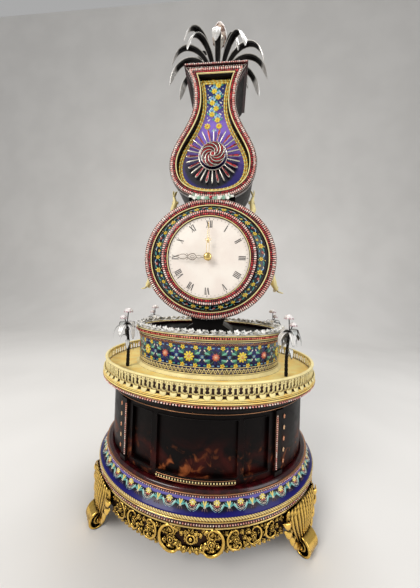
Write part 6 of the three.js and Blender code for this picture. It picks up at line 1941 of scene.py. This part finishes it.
def arched_leaf(root, angle, reach, peak, fall, width):
    """A long blade on a cubic arch: it widens up to its tip, its midrib stands up, its edges turn down."""
    out, up = np.array([np.cos(angle), np.sin(angle), 0.0]), np.array([0, 0, 1.0])
    across, root, rows = np.array([-out[1], out[0], 0.0]), np.asarray(root, float), 22
    arch = [root, root + 0.12 * reach * out + 1.15 * peak * up, root + 0.85 * reach * out + 1.28 * peak * up,
            root + reach * out + (peak - fall) * up]
    line = resample(bezier(arch, 120), rows)
    normal = np.cross(unit(np.gradient(line, axis=0)), across)
    t, u = np.linspace(0, 1, rows), np.linspace(-1, 1, 9)
    half = width / 2 * np.interp(t, [0, 0.35, 0.72, 0.84, 0.93, 1], [0.42, 0.78, 0.86, 1.0, 0.72, 0.05])
    crest = 1.3 * (1.1 * (1 - np.abs(u)) ** 0.8 - 0.5) + 0.25 * np.cos(4 * np.pi * u)
    lift = crest[None, :] * np.interp(t, [0, 0.9, 1], [1, 1, 0.3])[:, None]
    top = line[:, None] + half[:, None, None] * u[None, :, None] * across + lift[..., None] * normal[:, None]
    low = (top - 0.7 * normal[:, None])[:, ::-1]
    # Painted highlights: the edges are silver and the tip part pale, on a dark blade.
    edge = np.concatenate([np.abs(u), np.abs(u)[::-1]])[None] > 0.95
    silver, dark, tip_glint = ink(232, 230, 224), ink(22, 20, 20), ink(246, 244, 240)
    blade_tint = np.where(np.repeat(edge, rows, 0)[..., None], silver, dark)
    tint = np.where((t > 0.77)[:, None, None], tip_glint, blade_tint)
    tint = np.vstack([tint.reshape(-1, 4), tint[0, :1], tint[-1, :1]])
    return loft(np.concatenate([top, low], 1)), tint


def leaf_spray():
    """A turned collar and arching leaves; by an oval, those at the front and the back reach less far."""
    collar = [(0.3, 697.9), (14.6, 697.9), (15.0, 698.6), (13.4, 700.4), (12.4, 703.4), (13.0, 704.6),
              (12.0, 706.4), (0.3, 706.4)]
    one_piece("spray_collar", SILVER, "silver", round_turn(collar, 48), ["leaf_spray"])
    work = Work()
    leaves = [(k / 12 * TURN, 82, 58, 48, 13.5) for k in range(12)]
    leaves += [(-0.785, 42, 76, 38, 12.5), (0.785, 72, 70, 36, 12.5), (2.356, 62, 88, 28, 12.5),
               (-2.356, 70, 78, 34, 12.5)]
    for angle, reach, peak, fall, width in leaves:
        spread = np.array([np.cos(angle), 0.72 * np.sin(angle), 0.0])
        size = np.linalg.norm(spread)
        root = 6.0 * spread / size + [0, 0, 702.3]
        bearing = np.arctan2(spread[1], spread[0])
        shape, tint = arched_leaf(root, bearing, reach * size, peak, fall, width)
        work.add(shape, tint)
    work.make("spray_leaves", LEAF_METAL, "silver", sharp=50)


def fruit():
    """A bud of overlapping scales on a stem: the scales sit in rising spiral rows and shrink to the tip."""
    profile = [(0.2, 706.8), (3.6, 706.9), (3.2, 712.0), (3.4, 778.0), (6.0, 781.0), (9.6, 784.4),
               (11.2, 789.4), (11.4, 795.0), (10.2, 802.4), (7.4, 809.8), (4.0, 815.4), (1.4, 817.8),
               (0.2, 818.2)]
    one_piece("fruit_core", SILVER, "silver", round_turn(profile, 32), ["fruit_finial"])
    bud_radii, bud_heights = np.array(profile[3:]).T
    tones = [ink(206, 180, 160), ink(124, 92, 76), ink(226, 212, 200)]
    scale = bent_leaf(1.0, 0.95, 0.16, -0.05, steps=4, columns=5)
    work, rows = Work(), 9
    for row in range(rows):
        share = (row + 0.3) / rows
        z = 781.6 + 33.5 * share
        radius, above = np.interp([z, z + 2], bud_heights, bud_radii)
        count = max(5, int(round(radius * 1.1)))
        angle = (np.arange(count) + 0.5 * (row % 2)) / count * TURN
        out = np.stack([np.cos(angle), np.sin(angle), 0 * angle], -1)
        rise = unit(out * (above - radius) / 2 + [0, 0, 1.0])
        face = square_on(out, rise)
        tilted = unit(rise + 0.16 * face)
        size = np.tile([5.4, 6.4 * radius / 11 + 1.4, 5.0], (count, 1))
        places = (radius - 0.4) * out + [0, 0, z]
        work.strew(scale, places, tilted, square_on(face, tilted), size, tones, row)
    work.make("fruit_scales", WHITE_LEAF, "silver", sharp=60)


# Assembly

def plain_nodes():
    """The pieces whose own shape is right, with their edges eased and their finish put on."""
    pilasters = [f"pilaster_{corner}" for corner, _, _ in CORNERS]
    movement = ["music_frame", "music_cylinder", "drum_rear_door", "movement_back_plate", "spring_barrel",
                "centre_arbor", "motion_wheel", "hour_wheel"]
    for nodes, finish, slot, bevel in (
            (["base_board"], DARK_WOOD, "dark_wood", 0.5),
            (["plinth_wall", "plinth_rear_door"], TORTOISE_AND_REFLECTION, "dark_lacquer", 0.4),
            (["bay_lining"], TORTOISE_AND_REFLECTION, "dark_lacquer", 0.0),
            (["bay_sill", *pilasters], DARK_LACQUER, "dark_lacquer", 0.0),
            (movement, BRASS, "movement_brass", 0.2),
            (["movement_front_plate"], DARK_GILT, "movement_brass", 0.2),
            (["pendulum"], STEEL, "movement_brass", 0.2),
            (["gourd_socle"], DARK_BRONZE, "dark_bronze", 0.4),
            (["drum_case"], GILT, "gilt", 0.4),
            (["dial"], DIAL_WHITE, "white_enamel", 0.2),
            (["saddle"], DARK_BRONZE, "gilt", 0.4),
            (["lobe_case"], DARK_LACQUER, "dark_lacquer", 0.3),
            (["mouth_plate"], OXBLOOD, "gilt", 0.5)):
        for node in nodes:
            finished_copy(node, finish, bevel)


def clock():
    """Every piece of the clock, from the ground up."""
    rope_moulding()
    apron()
    for corner, side_x, side_y in CORNERS:
        foot(f"foot_{corner}", side_x, side_y)
    for build in (cavetto_band, plinth_base, cornice, wall_trim, pilaster_strips, sill_grille, deck, gallery,
                  tub, tub_rim, wreath):
        build()
    for corner, side_x, side_y in CORNERS:
        palm(f"tree_{corner}", side_x, side_y)
    for build in (drum_border, drum_band, bezel, dial_marks, hour_hand, minute_hand, side_scrolls, crown,
                  lobe_border, lobe_panel, ray_star, pinwheel, mouth_trim, leaf_spray, fruit, plain_nodes):
        build()


clock()
studio()
camera()
